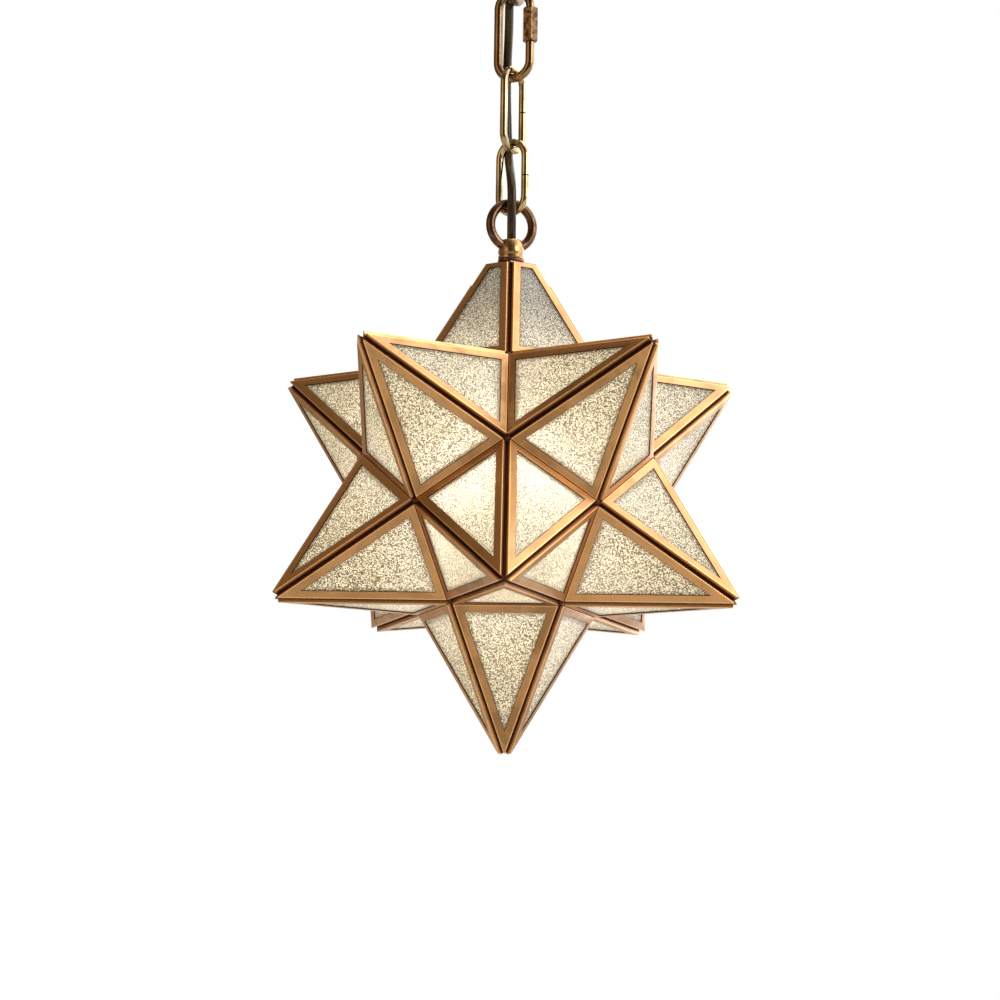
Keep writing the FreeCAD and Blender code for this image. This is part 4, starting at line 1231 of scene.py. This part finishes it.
class PENDANT_OT_lamp(bpy.types.Operator):
    """Add the lampholder and the lit bulb"""
    bl_idname = "pendant.lamp"
    bl_label = "Lampholder and bulb"

    def execute(self, context):
        glow = lit_glass(context.scene.pendant_lamp.glow)
        brass = metal("lamp_brass", (0.58, 0.40, 0.18, 1), (0.34, 0.21, 0.09, 1), 0.28, 70.0)
        inside, outside, top_radius, swell = 18.5 * MM, 20.5 * MM, 8 * MM, 3 * MM
        low, high = heights("holder_cap")
        middle = (low + high) / 2
        profile = [(NIPPLE_HOLE, high), (NIPPLE_HOLE, middle)]
        profile += bulged((NIPPLE_HOLE, middle), (inside, low), swell, 14) + [(outside, low)]
        profile += bulged((outside, low), (top_radius, high), -swell, 14)
        dress(lathe("holder_dome", profile, brass), "holder_cap", "star_body")
        profile = tube_outline("holder_shell", inside, outside, 0.6 * MM)
        dress(lathe("holder_skirt", profile, brass), "holder_shell", "star_body")

        low, high = heights("bulb_cap")
        top, cap_radius, steps = high - 4.4 * MM, 13.2 * MM, 32
        profile = in_metres(((0, 0), (4.5, 0), (9.5, -3.2)), high)
        profile += [(cap_radius, top - (top - low) * k / steps) for k in range(steps + 1)]
        profile += [(0, low)]
        thread = threaded(pitch=3.6 * MM, depth=0.9 * MM, low=low + 3 * MM, high=high - 5 * MM,
                          core=12 * MM)
        dress(lathe("bulb_screw_cap", profile, brass, 64, thread),
              "bulb_cap", "bulb_body")
        low, high = heights("bulb_glass")
        radius, neck, wall = 30 * MM, 12.8 * MM, 0.8 * MM
        centre = low + radius
        profile = [(neck, high), *bulb_outline(high, centre, radius, neck),
                   *bulb_outline(high, centre, radius - wall, neck - wall)[::-1],
                   (neck - wall, high)]
        dress(lathe("bulb_envelope", profile, glow), "bulb_glass", "bulb_body")

        paint(brass, "screw_shell")
        paint(plastic("porcelain", (0.84, 0.81, 0.74, 1), (0.72, 0.68, 0.60, 1), 0.16),
              "holder_core")
        paint(clear_glass("stem_glass", (0.96, 0.95, 0.92, 1)), "bulb_stem")
        paint(metal("filament", (0.6, 0.55, 0.5, 1), (0.4, 0.36, 0.32, 1), 0.4), "bulb_filament")
        return {"FINISHED"}


class PENDANT_OT_canopy(bpy.types.Operator):
    """Add the domed ceiling canopy and finish the bracket behind it"""
    bl_idname = "pendant.canopy"
    bl_label = "Ceiling canopy"

    def execute(self, context):
        lamp, colour = context.scene.pendant_lamp, context.scene.pendant_star.copper
        copper = metal("canopy_copper", *tones(colour, 1.15, 0.6), 0.27, 22.0)
        radius, low, wall, rim = lamp.canopy_radius, -lamp.canopy_height, 1.2 * MM, 5 * MM
        shoulder, swell, corner = 17 * MM, 5.5 * MM, 0.5 * MM
        profile = [(radius - wall, 0), (radius - wall, -rim)]
        profile += bulged((radius - wall, -rim), (shoulder, low + wall), swell, 16)
        profile += [(NIPPLE_HOLE, low + wall), (NIPPLE_HOLE, low), (shoulder, low)]
        profile += bulged((shoulder, low), (radius, -rim), -swell, 16)
        profile += [(radius, -corner), (radius - corner * 0.4, -corner * 0.1),
                    (radius - corner, 0)]
        dress(lathe("canopy_dome", profile, copper, 96),
              "canopy", "ceiling_fitting")
        paint(metal("bracket_steel", (0.60, 0.59, 0.56, 1), (0.42, 0.41, 0.39, 1), 0.32),
              "ceiling_bracket", "bracket_nipple", "bracket_nuts")
        paint(plastic("earth_green", (0.06, 0.30, 0.12, 1), (0.04, 0.20, 0.08, 1), 0.3),
              "earth_screw")
        paint(plastic("connector_white", (0.80, 0.79, 0.75, 1), (0.70, 0.69, 0.64, 1), 0.35),
              "terminal_block")
        return {"FINISHED"}


# ---- camera, floor and lights ----


CAMERA_UNIT = 0.2056        # metres in one unit of the camera's distance and shift
CAMERA_FOCAL = 3450.6       # pixels of a 1000 pixel frame
CAMERA_DISTANCE = 12.963
CAMERA_TILT = 0.1443
CAMERA_YAW = -0.0117
CAMERA_ROLL = 0.0140
CAMERA_SHIFT = (0.0300, 0.0366)
SENSOR = 36.0
FLOOR_DROP = 0.35           # from the lowest tip to the floor
FLOOR_FADE = (1.1, 2.2)     # distances from the middle between which the floor turns white


class PENDANT_OT_camera(bpy.types.Operator):
    """Add the camera that looks up at the star from the front"""
    bl_idname = "pendant.camera"
    bl_label = "Camera"

    def execute(self, context):
        turn = (Matrix.Rotation(-CAMERA_TILT, 3, "X") @ Matrix.Rotation(CAMERA_ROLL, 3, "Y")
                @ Matrix.Rotation(CAMERA_YAW, 3, "Z"))
        back = turn.transposed()
        right, ahead, up = (back @ Vector(axis) for axis in ((1, 0, 0), (0, 1, 0), (0, 0, 1)))
        place = back @ Vector((-CAMERA_SHIFT[0], -CAMERA_DISTANCE, -CAMERA_SHIFT[1])) * CAMERA_UNIT
        data = bpy.data.cameras.new("Camera")
        data.sensor_width = SENSOR
        data.lens = SENSOR * CAMERA_FOCAL / 1000
        data.clip_start, data.clip_end = 0.05, 50
        matrix = Matrix((right, up, -ahead)).transposed().to_4x4()
        matrix.translation = place + Vector((0, 0, STAR_Z))
        camera = new_object("Camera", data)
        camera.matrix_world = matrix
        context.scene.camera = camera
        return {"FINISHED"}


def backdrop_material(colour):
    """A pale floor that takes the star's shadow. Away from the middle the camera sees white."""
    material, nodes, surface = new_material("backdrop")
    where = nodes.where()
    grain = nodes.band(nodes.noise(where, 3.0, 2), 0.3, 0.7, 0.0, 0.05)
    nodes.feed(surface, {
        "Base Color": nodes.mix(grain, shade(colour), shade(colour, 0.97)), "Roughness": 0.9})
    away = nodes.band(nodes.vector("LENGTH", where, result="Value"), *FLOOR_FADE)
    seen = nodes.add("ShaderNodeLightPath").outputs["Is Camera Ray"]
    white = nodes.add("ShaderNodeEmission", {"Color": WHITE, "Strength": 1.0})
    fade = nodes.add("ShaderNodeMixShader", {
        0: nodes.times(seen, away), 1: surface.outputs[0], 2: white.outputs[0]})
    nodes.feed(nodes.output, {"Surface": fade.outputs[0]})
    return material


def studio_light(tree):
    """White to the camera. Reflections see a room that is dark in front and bright on the right."""
    tree.nodes.clear()
    nodes = Nodes(tree)
    path = nodes.add("ShaderNodeLightPath").outputs
    heading = nodes.add("ShaderNodeTexCoord").outputs["Generated"]
    room = nodes.band(nodes.part(heading, "Y"), -0.8, 0.15, 0.06, 1.05)
    side = nodes.band(nodes.part(heading, "X"), -0.7, 0.7)
    mirrored = nodes.times(room, nodes.plus(0.26, side, 2.5))
    diffuse = 0.55
    strength = nodes.plus(diffuse, nodes.math("SUBTRACT", mirrored, diffuse),
                          path["Is Glossy Ray"])
    tint = nodes.mix(side, (1.0, 0.76, 0.52, 1), (0.92, 1.0, 1.12, 1))
    soft = nodes.add("ShaderNodeBackground", {
        "Color": nodes.mix(path["Is Glossy Ray"], WHITE, tint), "Strength": strength})
    white = nodes.add("ShaderNodeBackground", {"Color": WHITE, "Strength": 1.0})
    seen = nodes.math("MAXIMUM", path["Is Camera Ray"], path["Is Transmission Ray"])
    both = nodes.add("ShaderNodeMixShader", {0: seen, 1: soft.outputs[0], 2: white.outputs[0]})
    nodes.add("ShaderNodeOutputWorld", {"Surface": both.outputs[0]})


class PENDANT_OT_stage(bpy.types.Operator):
    """Add the pale floor, the white surroundings and the soft studio light"""
    bl_idname = "pendant.stage"
    bl_label = "Stage"

    def execute(self, context):
        scene = context.scene
        scene.view_settings.view_transform = "Standard"
        scene.world = bpy.data.worlds.new("Studio")
        scene.world.use_nodes = True
        studio_light(scene.world.node_tree)

        floor = bmesh.new()
        bmesh.ops.create_grid(floor, x_segments=2, y_segments=2, size=3)
        bmesh.ops.translate(floor, verts=floor.verts, vec=(0, 0, CAD_BOX[0][2] - FLOOR_DROP))
        from_bmesh("floor", floor, backdrop_material(scene.pendant_lamp.backdrop))

        for name, place, size, power, colour in (
                ("key", (2.2, -1.5, 0.6), 1.4, 32.0, (1.0, 1.0, 1.0)),
                ("fill", (-1.9, -1.6, 0.2), 1.6, 9.0, (1.0, 0.78, 0.58)),
                ("top", (0.2, 0.3, 1.6), 1.4, 16.0, (1.0, 1.0, 1.0))):
            data = bpy.data.lights.new(name, "AREA")
            data.size, data.energy, data.color = size, power, colour
            lamp = new_object(name, data)
            lamp.location = place
            to_star = Vector((0, 0, STAR_Z)) - Vector(place)
            lamp.rotation_euler = to_star.to_track_quat("-Z", "Y").to_euler()
        return {"FINISHED"}


# ---- add-on ----


STEPS = (PENDANT_OT_camera, PENDANT_OT_cord, PENDANT_OT_frames, PENDANT_OT_glass,
         PENDANT_OT_castings, PENDANT_OT_chain, PENDANT_OT_neck, PENDANT_OT_lamp,
         PENDANT_OT_canopy, PENDANT_OT_stage)
SETTINGS = {"pendant_star": StarSettings, "pendant_chain": ChainSettings,
            "pendant_lamp": LampSettings}


class PENDANT_PT_sidebar(bpy.types.Panel):
    """Lists the pendant's sizes, colours and pieces"""
    bl_idname = "PENDANT_PT_sidebar"
    bl_label = "Moravian Star Pendant"
    bl_space_type = "VIEW_3D"
    bl_region_type = "UI"
    bl_category = "Pendant"

    def draw(self, context):
        for name in SETTINGS:
            group = getattr(context.scene, name)
            column = self.layout.box().column()
            column.label(text=name.split("_")[1].title())
            for key in group.bl_rna.properties.keys():
                if key not in ("rna_type", "name"):
                    column.prop(group, key)
        for step in STEPS:
            self.layout.operator(step.bl_idname)


CLASSES = (*SETTINGS.values(), *STEPS, PENDANT_PT_sidebar)


def register():
    for item in CLASSES:
        bpy.utils.register_class(item)
    for name, group in SETTINGS.items():
        setattr(bpy.types.Scene, name, PointerProperty(type=group))


def unregister():
    for name in SETTINGS:
        delattr(bpy.types.Scene, name)
    for item in reversed(CLASSES):
        bpy.utils.unregister_class(item)


def main():
    register()
    for step in STEPS:
        space, action = step.bl_idname.split(".")
        getattr(getattr(bpy.ops, space), action)()


if __name__ == "__main__":
    main()
